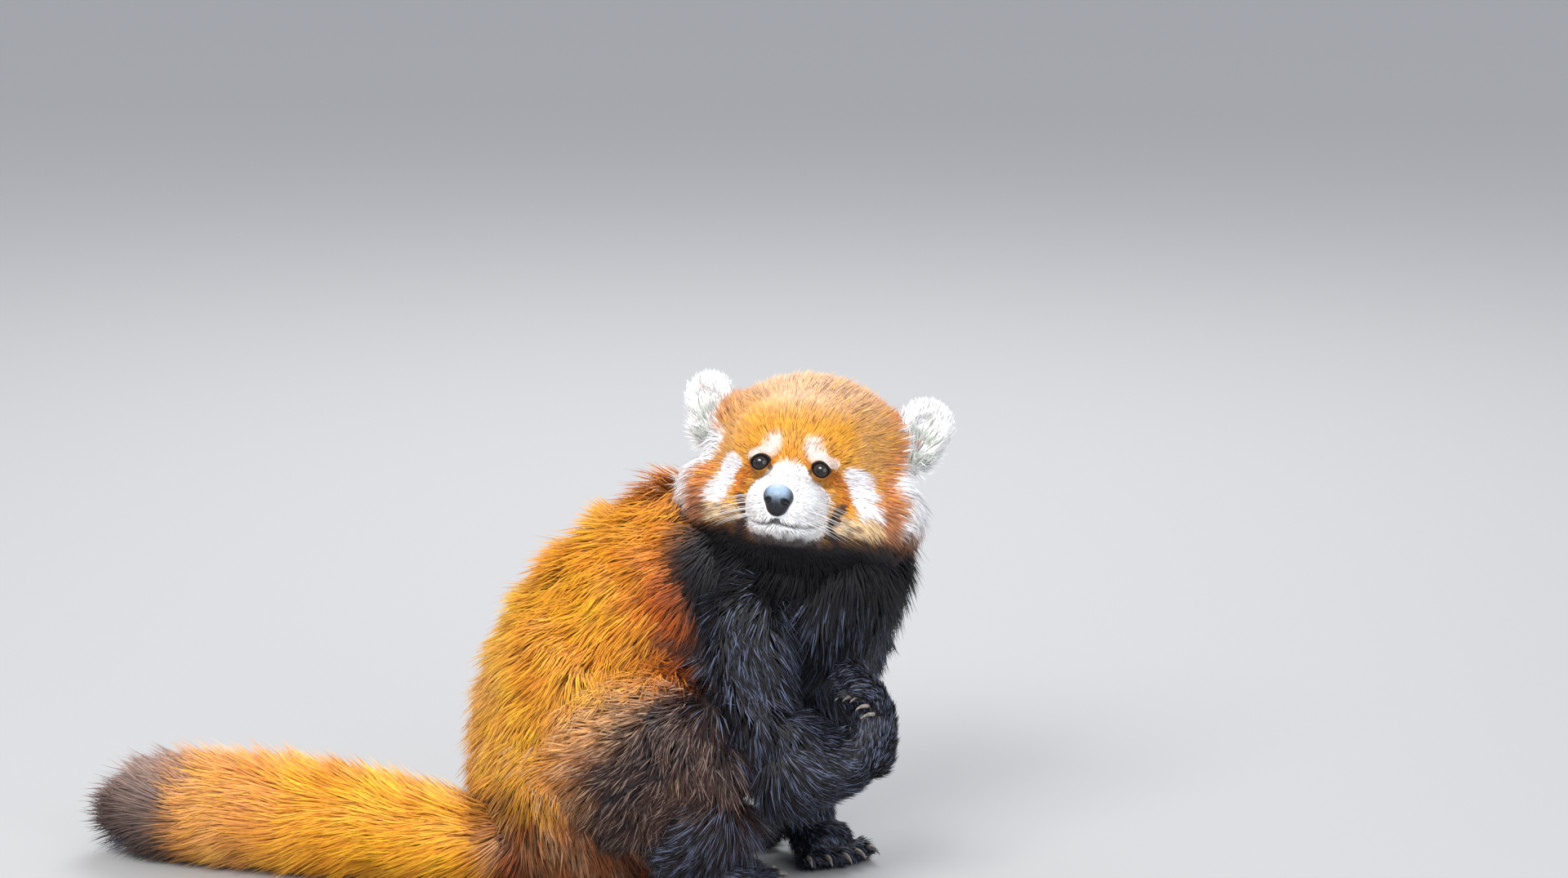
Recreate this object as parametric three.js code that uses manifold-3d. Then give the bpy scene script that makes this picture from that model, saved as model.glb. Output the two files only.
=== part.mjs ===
// A red panda sitting on its haunches, life size, as a still museum model.
// Millimetres, +Z up. The body points to +X, the tail to -X, and the face looks towards -Y.
// It sits on its rump, both hind feet, the left forefoot and the tail; the right forefoot is raised.

import * as THREE from "three";
import { mergeVertices } from "three/addons/utils/BufferGeometryUtils.js";
import Module from "manifold-3d";

const wasm = await Module();
wasm.setup();

// Driving dimensions.
const GAP = 0.3; // kept between neighbouring nodes

// Coats of long hair: how deep the hair stands on the skin, the size of a lock, how far apart the
// rows of locks are, and the seed of their draws.
const COATS = {
  torso: { depth: 22, length: 68, width: 48, every: 50, seed: 11 },
  neck: { depth: 16, length: 50, width: 42, every: 36, seed: 12 },
  arm: { depth: 12, length: 48, width: 35, every: 42, seed: 13 },
  thigh: { depth: 16, length: 60, width: 50, every: 50, seed: 14 },
  tail: { depth: 24, length: 64, width: 36, every: 47, seed: 15 },
  cheek: { depth: 12, length: 32, width: 24, seed: 16 },
};
const UNDERFUR_SHARE = 0.5; // of a coat's depth, filled with underfur
const LOCK_ROOT = 5; // how far a lock's root is sunk in the underfur
const LOCK_RIDGE = 0.9; // how thick a lock is along its ridge, as a share of its tip's height
const LOCK_VARIATION = 0.14; // of a lock's length and width
const TIP_ALLOWANCE = 5; // how much more than its sides a lock's sharp tip grows

// Head, in its own frame: the face looks to -Y.
const HEAD_AT = [104, -14, 275];
const HEAD_TURN = { nod: -12, roll: 5, yaw: -11 }; // degrees
const EYE_SPACING = 41;
const EYE_RADIUS = 6.6;
const EYE_DEPTH = -57.5;
const EYE_HEIGHT = 12;
const LID_THICKNESS = 2;
const EYE_FACETS = [12, 8]; // the eye's and its socket's, so that they fit each other
const EAR_HEIGHT = 49;
const EAR_WIDTH = 38;
const NOSE_WIDTH = 20;

const CLAW_LENGTH = 12;
const TOE_RADIUS = 7.5;

// Colours from the photograph.
const COLOURS = {
  rust: 0xb5540f,
  black_fur: 0x1c1719,
  white_fur: 0xf1ebe4,
  brown: 0x3d2a22,
  eye: 0x120c0a,
  nose: 0x2b2c31,
  claw: 0xcabfae,
};

function finish(colour, roughness) {
  return new THREE.MeshStandardMaterial({ color: COLOURS[colour], roughness, metalness: 0 });
}

const rustFur = finish("rust", 0.9);
const blackFur = finish("black_fur", 0.85);
const whiteFur = finish("white_fur", 0.9);
const brownFur = finish("brown", 0.9);
const eyeGloss = finish("eye", 0.08);
const noseSkin = finish("nose", 0.4);
const clawHorn = finish("claw", 0.35);

// Closed three.js geometry to a solid and back.
function solidOf(geometry) {
  const plain = new THREE.BufferGeometry();
  plain.setAttribute("position", geometry.getAttribute("position"));
  plain.setIndex(geometry.index);
  const merged = mergeVertices(plain, 1e-3);
  const mesh = new wasm.Mesh({
    numProp: 3,
    vertProperties: new Float32Array(merged.attributes.position.array),
    triVerts: new Uint32Array(merged.index.array),
  });
  const made = new wasm.Manifold(mesh);
  if (made.volume() > 0) return made;
  const flipped = new Uint32Array(merged.index.array);
  for (let i = 0; i < flipped.length; i += 3) {
    [flipped[i + 1], flipped[i + 2]] = [flipped[i + 2], flipped[i + 1]];
  }
  mesh.triVerts = flipped;
  return new wasm.Manifold(mesh);
}

function geometryOf(solid) {
  const mesh = solid.getMesh();
  const positions = new Float32Array(mesh.numVert * 3);
  for (let i = 0; i < mesh.numVert; i++) {
    positions.set(mesh.vertProperties.subarray(i * mesh.numProp, i * mesh.numProp + 3), i * 3);
  }
  const geometry = new THREE.BufferGeometry();
  geometry.setAttribute("position", new THREE.BufferAttribute(positions, 3));
  geometry.setIndex(new THREE.BufferAttribute(mesh.triVerts, 1));
  geometry.computeVertexNormals();
  return geometry;
}

function joined(solids) {
  return solids.reduce((all, one) => all.add(one));
}

function largest(solid) {
  const pieces = solid.decompose();
  pieces.sort((a, b) => b.volume() - a.volume());
  return pieces[0];
}

const FLOOR_NORMAL = [0, 0, 1];
function onFloor(solid) {
  return solid.trimByPlane(FLOOR_NORMAL, 0);
}

const vec = (p) => new THREE.Vector3(...p);

// A seeded draw between -1 and 1.
function dice(seed) {
  let state = seed;
  return () => {
    state = (state * 1664525 + 1013904223) % 4294967296;
    return (state / 4294967296) * 2 - 1;
  };
}

// A flat, tapered lock of hair with a ridge along its top. walk(forward, sideways, height) gives the
// point that far along the lie of the coat, to the side of it and above the underfur. The lock has
// three edges bent along the coat: two lie in the underfur and lift off towards the tip, and the
// third is the ridge.
const LOCK_EDGES = [0, 1, -1]; // the ridge and the two sides
function lockPoint({ walk, length, width, tip }, h, edge) {
  const belly = Math.sin(Math.PI * (0.28 + 0.72 * h)) ** 0.7;
  const thickness = LOCK_RIDGE * tip * Math.sin(Math.PI * (0.1 + 0.9 * h));
  const rise = (tip + LOCK_ROOT) * h ** 2.2 - LOCK_ROOT;
  if (edge === 0) return walk(h * length, 0, rise + thickness);
  return walk(h * length, edge * (width / 2) * belly, rise);
}

// A corner of a triangle, moved so that the triangle's sides move out by grow.
function movedOut(corner, one, other, grow) {
  const u = corner.clone().sub(one).normalize();
  const v = corner.clone().sub(other).normalize();
  const halfAngle = Math.acos(u.dot(v)) / 2;
  return corner.clone().addScaledVector(u.add(v).normalize(), grow / Math.sin(halfAngle));
}

function lockSolid(lock, grow = 0) {
  const sides = LOCK_EDGES.length;
  const geometry = new THREE.ConeGeometry(1, 1, sides, 3);
  const position = geometry.getAttribute("position");
  for (let i = 0; i < position.count; i++) {
    const h = position.getY(i) + 0.5;
    const atTip = h > 0.999;
    const onAxis = Math.hypot(position.getX(i), position.getZ(i)) < 1e-6;
    const turn = Math.atan2(position.getX(i), position.getZ(i)) / ((2 * Math.PI) / sides);
    const corner = (Math.round(turn) + sides) % sides;
    const section = LOCK_EDGES.map((edge) => lockPoint(lock, h, edge));
    const [own, one, other] = [0, 1, 2].map((k) => section[(corner + k) % sides]);
    let p = own;
    if (atTip) {
      const back = lockPoint(lock, 0.8, 0);
      p = own.clone().addScaledVector(own.clone().sub(back).normalize(), TIP_ALLOWANCE * grow);
    } else if (onAxis) {
      p = own.clone().add(one).add(other).divideScalar(sides);
    } else if (grow) {
      p = movedOut(own, one, other, grow);
    }
    position.setXYZ(i, p.x, p.y, p.z);
  }
  return solidOf(geometry);
}

// The space that other parts leave to a lock. A lock that twists along its way needs more of it, and
// one for which no allowance is enough has none.
const ALLOWANCES = [1.6, 2.5, 4, 6.5, 10]; // times the gap
const TWIST_LIMIT = 0.01; // mm3 of a lock that may stand out of its space
function spaceOf(lock) {
  const solid = lockSolid(lock);
  const spaces = ALLOWANCES.map((allowance) => lockSolid(lock, allowance * GAP));
  return spaces.find((space) => solid.subtract(space).volume() < TWIST_LIMIT);
}

// A tapering limb through a few stations {at, wide, deep}: wide is the half size along the side
// direction, deep the half size across it. Its ends are rounded.
class Limb {
  constructor(stations, { side = [0, 1, 0], around, along, cap, coat = null }) {
    this.curve = new THREE.CatmullRomCurve3(stations.map((s) => vec(s.at)));
    this.wide = new THREE.SplineCurve(stations.map((s, i) => new THREE.Vector2(i, s.wide)));
    this.deep = new THREE.SplineCurve(stations.map((s, i) => new THREE.Vector2(i, s.deep)));
    this.side = vec(side);
    this.span = this.curve.getLength();
    this.around = around;
    this.along = along;
    this.cap = cap;
    this.coat = coat;
    this.inset = coat ? coat.depth * UNDERFUR_SHARE : 0;
  }

  // The point at u along the limb and angle round it, pushed out by grow.
  place(u, angle, roundness, grow) {
    const centre = this.curve.getPoint(u);
    const tangent = this.curve.getTangent(u);
    const side = this.side.clone().addScaledVector(tangent, -this.side.dot(tangent)).normalize();
    const across = new THREE.Vector3().crossVectors(tangent, side);
    const a = (this.wide.getPoint(u).y + grow) * roundness;
    const b = (this.deep.getPoint(u).y + grow) * roundness;
    return centre
      .addScaledVector(side, a * Math.cos(angle))
      .addScaledVector(across, b * Math.sin(angle));
  }

  roundnessAt(u) {
    const fromEnd = Math.min(u, 1 - u) / this.cap;
    return fromEnd >= 1 ? 1 : Math.sqrt(Math.max(0, 1 - (1 - fromEnd) ** 2));
  }

  radiusAt(u) {
    return (this.wide.getPoint(u).y + this.deep.getPoint(u).y) / 2;
  }

  // A walk over the underfur from u and angle; sense 1 heads for the far end, -1 for the start.
  walker(u, angle, sense, drift) {
    return (forward, sideways, height) => {
      const there = THREE.MathUtils.clamp(u + (sense * forward) / this.span, 0.001, 0.999);
      const turned = angle + (sideways + drift * forward) / (this.radiusAt(there) - this.inset);
      return this.place(there, turned, this.roundnessAt(there), height - this.inset);
    };
  }

  // Whether a point lies in the underfur or under it.
  holds(point) {
    const samples = 24;
    for (let i = 0; i <= samples; i++) {
      const u = i / samples;
      const offset = point.clone().sub(this.curve.getPoint(u));
      const tangent = this.curve.getTangent(u);
      if (Math.abs(offset.dot(tangent)) > this.span / samples) continue;
      const side = this.side.clone().addScaledVector(tangent, -this.side.dot(tangent)).normalize();
      const across = new THREE.Vector3().crossVectors(tangent, side);
      const round = this.roundnessAt(u);
      const a = this.wide.getPoint(u).y * round - this.inset;
      const b = this.deep.getPoint(u).y * round - this.inset;
      if (Math.hypot(offset.dot(side) / a, offset.dot(across) / b) < 1) return true;
    }
    return false;
  }

  // The limb as far as its underfur.
  solid(grow = 0) {
    const swell = grow - this.inset;
    const geometry = new THREE.SphereGeometry(1, this.around, this.along);
    const position = geometry.getAttribute("position");
    const p = new THREE.Vector3();
    for (let i = 0; i < position.count; i++) {
      p.fromBufferAttribute(position, i);
      const v = Math.acos(THREE.MathUtils.clamp(p.y, -1, 1)) / Math.PI;
      const angle = Math.atan2(p.z, p.x);
      const fromEnd = Math.min(v, 1 - v);
      const rise = Math.min(fromEnd / this.cap, 1);
      const roundness = Math.sin((rise * Math.PI) / 2);
      const eased = rise < 1 ? this.cap * (1 - Math.cos((rise * Math.PI) / 2)) : fromEnd;
      const u = v < 0.5 ? eased : 1 - eased;
      const placed = this.place(u, angle, roundness, swell);
      if (rise < 1) {
        const outwards = v < 0.5 ? -swell : swell;
        placed.addScaledVector(this.curve.getTangent(u), outwards * (1 - roundness));
      }
      position.setXYZ(i, placed.x, placed.y, placed.z);
    }
    return solidOf(geometry);
  }
}

// A rounded mass of several ellipsoids {at, size} that run smoothly into each other, as seen from
// one centre.
class Mass {
  constructor(centre, lumps, { detail = 9, blend = 6 } = {}) {
    this.centre = vec(centre);
    this.lumps = lumps.map((l) => ({ at: vec(l.at), size: vec(l.size) }));
    this.detail = detail;
    this.blend = blend;
  }

  // About the distance from a point to the skin, negative inside.
  away(point) {
    let sum = 0;
    for (const { at, size } of this.lumps) {
      const q = point.clone().sub(at).divide(size);
      const steep = q.clone().divide(size).length() || 1e-6;
      const d = (q.length() * (q.length() - 1)) / steep;
      sum += Math.exp(-d / this.blend);
    }
    return -this.blend * Math.log(sum);
  }

  reach(direction, grow = 0) {
    let inner = 0;
    let outer = 400;
    for (let i = 0; i < 30; i++) {
      const middle = (inner + outer) / 2;
      const inside = this.away(this.centre.clone().addScaledVector(direction, middle)) < grow;
      if (inside) inner = middle;
      else outer = middle;
    }
    return this.centre.clone().addScaledVector(direction, inner);
  }

  // A walk over the surface from one direction along a lie.
  walker(direction, lie) {
    const start = this.reach(direction).distanceTo(this.centre);
    const side = new THREE.Vector3().crossVectors(direction, lie).normalize();
    return (forward, sideways, height) => {
      const aim = direction
        .clone()
        .multiplyScalar(start)
        .addScaledVector(lie, forward)
        .addScaledVector(side, sideways)
        .normalize();
      return this.reach(aim).addScaledVector(aim, height);
    };
  }

  solid(grow = 0) {
    const geometry = new THREE.IcosahedronGeometry(1, this.detail);
    geometry.deleteAttribute("normal");
    geometry.deleteAttribute("uv");
    const merged = mergeVertices(geometry, 1e-4);
    const position = merged.getAttribute("position");
    const p = new THREE.Vector3();
    for (let i = 0; i < position.count; i++) {
      p.fromBufferAttribute(position, i).normalize();
      const placed = this.reach(p, grow);
      position.setXYZ(i, placed.x, placed.y, placed.z);
    }
    return solidOf(merged);
  }
}

function ball(at, size, around = 14, along = 10) {
  const geometry = new THREE.SphereGeometry(1, around, along);
  geometry.scale(...size);
  geometry.translate(...at);
  return solidOf(geometry);
}

function drawLock(coat, draw, walk) {
  return {
    walk,
    length: coat.length * (1 + LOCK_VARIATION * draw()),
    width: coat.width * (1 + LOCK_VARIATION * draw()),
    tip: coat.depth * (1 - UNDERFUR_SHARE) * (1.1 + 0.35 * draw()),
  };
}

const BRUSH_OVERLAP = 1.6; // the width of a brush's locks, as a share of the room for each

// Rows of locks over a limb, each row set off by half a lock from the one before. A lock is left out
// where another part of the body covers it or the floor is too near. Rows that end in a brush have
// locks no longer than what is left of the limb.
function locksAlong(limb, sense, hiding, { from, to, brush = false }) {
  const { coat } = limb;
  const draw = dice(coat.seed);
  const rows = Math.round(((to - from) * limb.span) / coat.every);
  const locks = [];
  for (let row = 0; row <= rows; row++) {
    const u = from + ((to - from) * row) / rows;
    const girth = 2 * Math.PI * (limb.radiusAt(u) * limb.roundnessAt(u) - limb.inset);
    const count = Math.max(5, Math.round(girth / coat.width));
    for (let k = 0; k < count; k++) {
      const angle = ((k + (row % 2) / 2 + 0.15 * draw()) / count) * 2 * Math.PI;
      const start = u + (0.1 * draw() * coat.every) / limb.span;
      const lock = drawLock(coat, draw, limb.walker(start, angle, sense, 0.12 * draw()));
      if (brush) {
        lock.length = Math.min(lock.length, (1 - start) * limb.span);
        lock.width = Math.min(lock.width, (BRUSH_OVERLAP * girth) / count);
      }
      const foot = lock.walk(0, 0, 0);
      const middle = lock.walk(lock.length * 0.6, 0, lock.tip * 0.6);
      const covered = hiding.some((form) => form.holds(foot) || form.holds(middle));
      const clearOfFloor = foot.z > 4 && middle.z > 3;
      if (covered || !clearOfFloor) continue;
      const space = spaceOf(lock);
      if (space) locks.push({ ...lock, u, space });
    }
  }
  return locks;
}

// Head frame to body frame.
const headMatrix = new THREE.Matrix4().compose(
  vec(HEAD_AT),
  new THREE.Quaternion().setFromEuler(
    new THREE.Euler(
      THREE.MathUtils.degToRad(HEAD_TURN.nod),
      THREE.MathUtils.degToRad(HEAD_TURN.roll),
      THREE.MathUtils.degToRad(HEAD_TURN.yaw),
      "ZXY",
    ),
  ),
  new THREE.Vector3(1, 1, 1),
);

const both = [
  { name: "right", sign: -1 },
  { name: "left", sign: 1 },
];

// Head.
const HEAD_LUMPS = [
  { at: [0, 6, 14], size: [65, 60, 57] },
  { at: [0, -28, 22], size: [44, 34, 34] },
  { at: [-42, -4, -13], size: [38, 36, 33] },
  { at: [42, -4, -13], size: [38, 36, 33] },
  { at: [0, -12, -31], size: [50, 41, 25] },
  { at: [0, -60, -13], size: [25, 32, 19] },
  { at: [0, -50, -27], size: [20, 26, 12] },
];
const headMass = new Mass([0, -10, 0], HEAD_LUMPS, { detail: 7, blend: 5 });
const HEAD_CUTTER = { detail: 6, slack: 1 }; // a coarser head that clears its neighbours

const eyeAt = (sign) => [(sign * EYE_SPACING) / 2, EYE_DEPTH, EYE_HEIGHT];

// The ruff of the cheeks: two rows of locks that fan out from below the ear to under the jaw.
const CHEEK_ROWS = [
  { count: 5, forward: 0.05, from: 8, to: -70 },
  { count: 4, forward: -0.42, from: -6, to: -60 },
];
function cheekLocks() {
  const coat = COATS.cheek;
  const draw = dice(coat.seed);
  const locks = [];
  for (const { sign } of both) {
    for (const { count, forward, from, to } of CHEEK_ROWS) {
      for (let k = 0; k < count; k++) {
        const rise = THREE.MathUtils.degToRad(from + ((to - from) * k) / (count - 1) + 3 * draw());
        const outward = vec([sign * Math.cos(rise), 0, Math.sin(rise)]);
        const direction = outward.clone().setY(forward).normalize();
        const lie = outward.clone().multiplyScalar(0.4).add(vec([0, 0.6, -0.5])).normalize();
        const lock = drawLock(coat, draw, headMass.walker(direction, lie));
        locks.push({ ...lock, space: spaceOf(lock) });
      }
    }
  }
  return locks;
}
const headLocks = cheekLocks();

function headSolid() {
  let head = joined([headMass.solid(), ...headLocks.map((lock) => lockSolid(lock))]);
  for (const { sign } of both) {
    const [x, y, z] = eyeAt(sign);
    const lid = EYE_RADIUS + LID_THICKNESS;
    const socket = EYE_RADIUS + GAP;
    head = head.add(ball([x, y + 1.6, z], [lid, lid, lid], 12, 8));
    head = head.subtract(ball([x, y, z], [socket, socket, socket], ...EYE_FACETS));
    head = head.subtract(ball([x + sign * 0.6, y - EYE_RADIUS, z - 0.3], [5.6, 6, 4.4], 10, 6));
  }
  for (const side of [1, -1]) head = head.add(alongMouth(lipSection(side)));
  return largest(head.subtract(alongMouth(mouthSection)).subtract(noseForm(GAP)));
}

// The line of the mouth, and the two lips that follow it, one above and one below.
const mouthLine = new THREE.CatmullRomCurve3(
  [
    [-25, -66, -25],
    [-13, -86, -25.5],
    [0, -91, -24],
    [13, -86, -25.5],
    [25, -66, -25],
  ].map(vec),
);
const mouthSection = new THREE.Shape([
  new THREE.Vector2(-0.8, -4),
  new THREE.Vector2(0.8, -4),
  new THREE.Vector2(0.8, 4),
  new THREE.Vector2(-0.8, 4),
]);
const LIP_RADIUS = 1.9;
function lipSection(side) {
  return new THREE.Shape().absellipse(side * LIP_RADIUS, 0, LIP_RADIUS, LIP_RADIUS, 0, 2 * Math.PI);
}

function alongMouth(section) {
  const shape = { steps: 8, curveSegments: 2, extrudePath: mouthLine, bevelEnabled: false };
  return solidOf(new THREE.ExtrudeGeometry(section, shape));
}

const NOSE_AT = [0, -91, -9];
function noseForm(grow = 0) {
  const nose = new Mass(
    NOSE_AT,
    [
      { at: [0, -90, -6], size: [NOSE_WIDTH / 2, 8, 7] },
      { at: [0, -90, -13], size: [6, 7, 7] },
    ],
    { detail: 2, blend: 1.5 },
  );
  return nose.solid(grow);
}

function noseSolid() {
  let nose = noseForm();
  for (const { sign } of both) {
    nose = nose.subtract(ball([sign * 6, -98.5, -9], [2.4, 3.4, 2], 10, 8));
  }
  return nose;
}

// An ear is a leaf-shaped cup, broad at its top, that opens forwards and outwards.
const EAR_AT = [73, 12, 41];
const EAR_LEAN = 0.2; // outwards
const EAR_NOD = -0.1; // forwards
const earMass = new Mass(
  [0, 0, 0],
  [
    { at: [0, 0, 7], size: [EAR_WIDTH / 2, 8, EAR_HEIGHT / 2 - 7] },
    { at: [-1, 0, -8], size: [EAR_WIDTH / 2 - 5, 8, EAR_HEIGHT / 2 - 7] },
  ],
  { detail: 3, blend: 2 },
);
const earCup = new Mass(
  [0, -10, 0],
  [
    { at: [0, -9, 5], size: [EAR_WIDTH / 2 - 4, 11, EAR_HEIGHT / 2 - 11] },
    { at: [-1, -9, -6], size: [EAR_WIDTH / 2 - 9, 11, EAR_HEIGHT / 2 - 12] },
  ],
  { detail: 2, blend: 2 },
);

function earSolid(sign) {
  const place = new THREE.Matrix4().compose(
    new THREE.Vector3(sign * EAR_AT[0], EAR_AT[1], EAR_AT[2]),
    new THREE.Quaternion().setFromEuler(new THREE.Euler(EAR_NOD, EAR_LEAN * sign, 0.3 * sign)),
    new THREE.Vector3(sign, 1, 1),
  );
  const ear = earMass.solid().subtract(earCup.solid()).transform(place.toArray());
  return largest(ear.subtract(headMass.solid(GAP)));
}

// Body.
const TORSO = [
  { at: [-46, 4, -16], wide: 62, deep: 66 },
  { at: [-49, 4, 40], wide: 76, deep: 78 },
  { at: [-46, 4, 88], wide: 80, deep: 82 },
  { at: [-34, 3, 132], wide: 78, deep: 84 },
  { at: [-2, 2, 174], wide: 72, deep: 87 },
  { at: [46, 2, 200], wide: 68, deep: 88 },
  { at: [88, 4, 206], wide: 66, deep: 82 },
  { at: [118, 8, 200], wide: 58, deep: 72 },
];
const TORSO_CUTS = [1, 0.6, 0]; // from the chest to the rump, as shares of the torso's length
const NECK = [
  { at: [88, 4, 190], wide: 64, deep: 76 },
  { at: [101, -2, 226], wide: 72, deep: 80 },
  { at: [105, -10, 262], wide: 62, deep: 73 },
];
const UPPER_ARM_RIGHT = [
  { at: [48, -36, 210], wide: 28, deep: 36 },
  { at: [58, -50, 170], wide: 28, deep: 38 },
  { at: [72, -60, 122], wide: 26, deep: 34 },
  { at: [82, -64, 86], wide: 20, deep: 24 },
];
const FOREARM_RIGHT = [
  { at: [70, -64, 94], wide: 22, deep: 26 },
  { at: [100, -66, 93], wide: 26, deep: 29 },
  { at: [129, -66, 95], wide: 22, deep: 24 },
  { at: [148, -66, 103], wide: 18, deep: 19 },
];
const UPPER_ARM_LEFT = [
  { at: [123, 30, 210], wide: 32, deep: 46 },
  { at: [125, 42, 170], wide: 32, deep: 44 },
  { at: [115, 50, 128], wide: 29, deep: 40 },
  { at: [101, 50, 98], wide: 25, deep: 31 },
];
const FOREARM_LEFT = [
  { at: [97, 50, 116], wide: 25, deep: 29 },
  { at: [97, 46, 78], wide: 25, deep: 29 },
  { at: [100, 42, 44], wide: 23, deep: 26 },
  { at: [106, 38, 12], wide: 20, deep: 22 },
];
const THIGH_RIGHT = [
  { at: [-66, -36, 84], wide: 34, deep: 54 },
  { at: [-24, -52, 94], wide: 36, deep: 66 },
  { at: [24, -60, 86], wide: 32, deep: 56 },
  { at: [58, -62, 70], wide: 24, deep: 36 },
];
const SHANK_RIGHT = [
  { at: [56, -60, 76], wide: 22, deep: 30 },
  { at: [34, -62, 46], wide: 24, deep: 30 },
  { at: [14, -62, 14], wide: 20, deep: 22 },
];
const TAIL = [
  { at: [-70, -24, 36], wide: 26, deep: 28 },
  { at: [-114, -32, 32], wide: 32, deep: 32 },
  { at: [-165, -20, 35], wide: 36, deep: 36 },
  { at: [-222, -4, 38], wide: 40, deep: 39 },
  { at: [-282, 13, 39], wide: 41, deep: 40 },
  { at: [-334, 30, 36], wide: 35, deep: 36 },
  { at: [-388, 51, 24], wide: 14, deep: 14 },
];
const TAIL_CUTS = [0, 0.4, 0.7, 1]; // from the rump to the tip

const BODY_MIDDLE = 4;
function mirrored(stations) {
  return stations.map(({ at: [x, y, z], ...size }) => ({ at: [x, 2 * BODY_MIDDLE - y, z], ...size }));
}

const limbShape = { around: 11, along: 7, cap: 0.25 };
const armShape = { ...limbShape, coat: COATS.arm };
const thighShape = { ...limbShape, coat: COATS.thigh };
const torsoLimb = new Limb(TORSO, { around: 16, along: 12, cap: 0.16, coat: COATS.torso });
const neckLimb = new Limb(NECK, { around: 12, along: 5, cap: 0.3, coat: COATS.neck });
const tailLimb = new Limb(TAIL, { around: 9, along: 12, cap: 0.1, coat: COATS.tail });
const upperArmRight = new Limb(UPPER_ARM_RIGHT, armShape);
const upperArmLeft = new Limb(UPPER_ARM_LEFT, armShape);
const thighRight = new Limb(THIGH_RIGHT, thighShape);
const thighLeft = new Limb(mirrored(THIGH_RIGHT), thighShape);

// One length of a long limb between two flat cuts across it. The cuts run along the lie of its coat.
function lengthOf(limb, cuts, k, grow) {
  const sense = Math.sign(cuts[k + 1] - cuts[k]);
  return [sense, -sense].reduce((left, facing, end) => {
    const u = cuts[k + end];
    if (u === 0 || u === 1) return left;
    const normal = limb.curve.getTangent(u).multiplyScalar(facing);
    const offset = normal.dot(limb.curve.getPoint(u)) + GAP / 2 - grow;
    return left.trimByPlane(normal.toArray(), offset);
  }, limb.solid(grow));
}

function locksBetween(locks, cuts, k) {
  const low = Math.min(cuts[k], cuts[k + 1]);
  const high = Math.max(cuts[k], cuts[k + 1]);
  return locks.filter(({ u }) => u >= low && u < high);
}

// A foot is a sole with five toes; toes fan about the heading, and the claws sit at their tips.
const TOES = [-2, -1, 0, 1, 2];
function footPlan({ at, heading, length, width }) {
  const turn = THREE.MathUtils.degToRad(heading);
  const forward = new THREE.Vector3(Math.cos(turn), Math.sin(turn), 0);
  const side = new THREE.Vector3(-Math.sin(turn), Math.cos(turn), 0);
  return { heel: vec(at), forward, side, length, width };
}

function toeOf(plan, toe) {
  const fan = toe * 0.16;
  const direction = plan.forward
    .clone()
    .multiplyScalar(Math.cos(fan))
    .addScaledVector(plan.side, Math.sin(fan));
  const root = plan.heel
    .clone()
    .addScaledVector(plan.forward, plan.length * 0.62 - Math.abs(toe) * 3)
    .addScaledVector(plan.side, (toe * plan.width) / 5.2);
  return { root, direction };
}

function footSolid(plan, height = 15) {
  const { heel, forward, width, length } = plan;
  const soleAt = (share, rise) =>
    heel
      .clone()
      .addScaledVector(forward, length * share)
      .setZ(rise)
      .toArray();
  const sole = new Limb(
    [
      { at: soleAt(0, height), wide: width * 0.3, deep: height },
      { at: soleAt(0.35, height), wide: width * 0.42, deep: height },
      { at: soleAt(0.72, height * 0.8), wide: width * 0.46, deep: height * 0.8 },
    ],
    { side: plan.side.toArray(), around: 10, along: 5, cap: 0.3 },
  );
  const toes = TOES.map((toe) => {
    const { root, direction } = toeOf(plan, toe);
    const end = root.clone().addScaledVector(direction, length * 0.33);
    return new Limb(
      [
        { at: root.setZ(TOE_RADIUS + 1).toArray(), wide: TOE_RADIUS, deep: TOE_RADIUS },
        { at: end.setZ(TOE_RADIUS - 0.6).toArray(), wide: TOE_RADIUS * 0.86, deep: TOE_RADIUS * 0.86 },
      ],
      { side: plan.side.toArray(), around: 6, along: 4, cap: 0.4 },
    ).solid();
  });
  return onFloor(joined([sole.solid(), ...toes]));
}

// A curved claw that leaves its root along out and bends towards down.
function clawForm({ root, out, down, side }, grow = 0) {
  const at = (k, sag) =>
    root
      .clone()
      .addScaledVector(out, k * CLAW_LENGTH)
      .addScaledVector(down, sag * CLAW_LENGTH)
      .toArray();
  return new Limb(
    [
      { at: at(-0.3, 0), wide: 2.2, deep: 2.6 },
      { at: at(0.3, -0.04), wide: 1.9, deep: 2.4 },
      { at: at(0.7, 0.08), wide: 1.2, deep: 1.6 },
      { at: at(0.95, 0.3), wide: 0.5, deep: 0.5 },
    ],
    { side: side.toArray(), around: 5, along: 4, cap: 0.2 },
  ).solid(grow);
}

const DOWN = new THREE.Vector3(0, 0, -1);
function footClaw(plan, toe) {
  const { root, direction } = toeOf(plan, toe);
  const tip = root.addScaledVector(direction, plan.length * 0.33 - 2).setZ(TOE_RADIUS + 2.5);
  return { root: tip, out: direction, down: DOWN, side: plan.side };
}

const FEET = {
  forepaw_left: { at: [104, 44, 0], heading: -58, length: 56, width: 50 },
  hindfoot_right: { at: [12, -62, 0], heading: 16, length: 82, width: 52 },
  hindfoot_left: { at: [10, 70, 0], heading: 6, length: 82, width: 52 },
};

// The raised forepaw: the hand points up, its palm turned to the mouth and the viewer.
const HAND = {
  wrist: vec([145, -66, 97]),
  up: vec([0.25, 0, 0.97]).normalize(),
  palm: vec([-0.82, -0.5, 0.2]).normalize(),
  length: 30,
  width: 38,
};
HAND.across = new THREE.Vector3().crossVectors(HAND.up, HAND.palm).normalize();

function handPoint(rise, spread, curl) {
  return HAND.wrist
    .clone()
    .addScaledVector(HAND.up, rise)
    .addScaledVector(HAND.across, spread)
    .addScaledVector(HAND.palm, curl);
}

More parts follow.
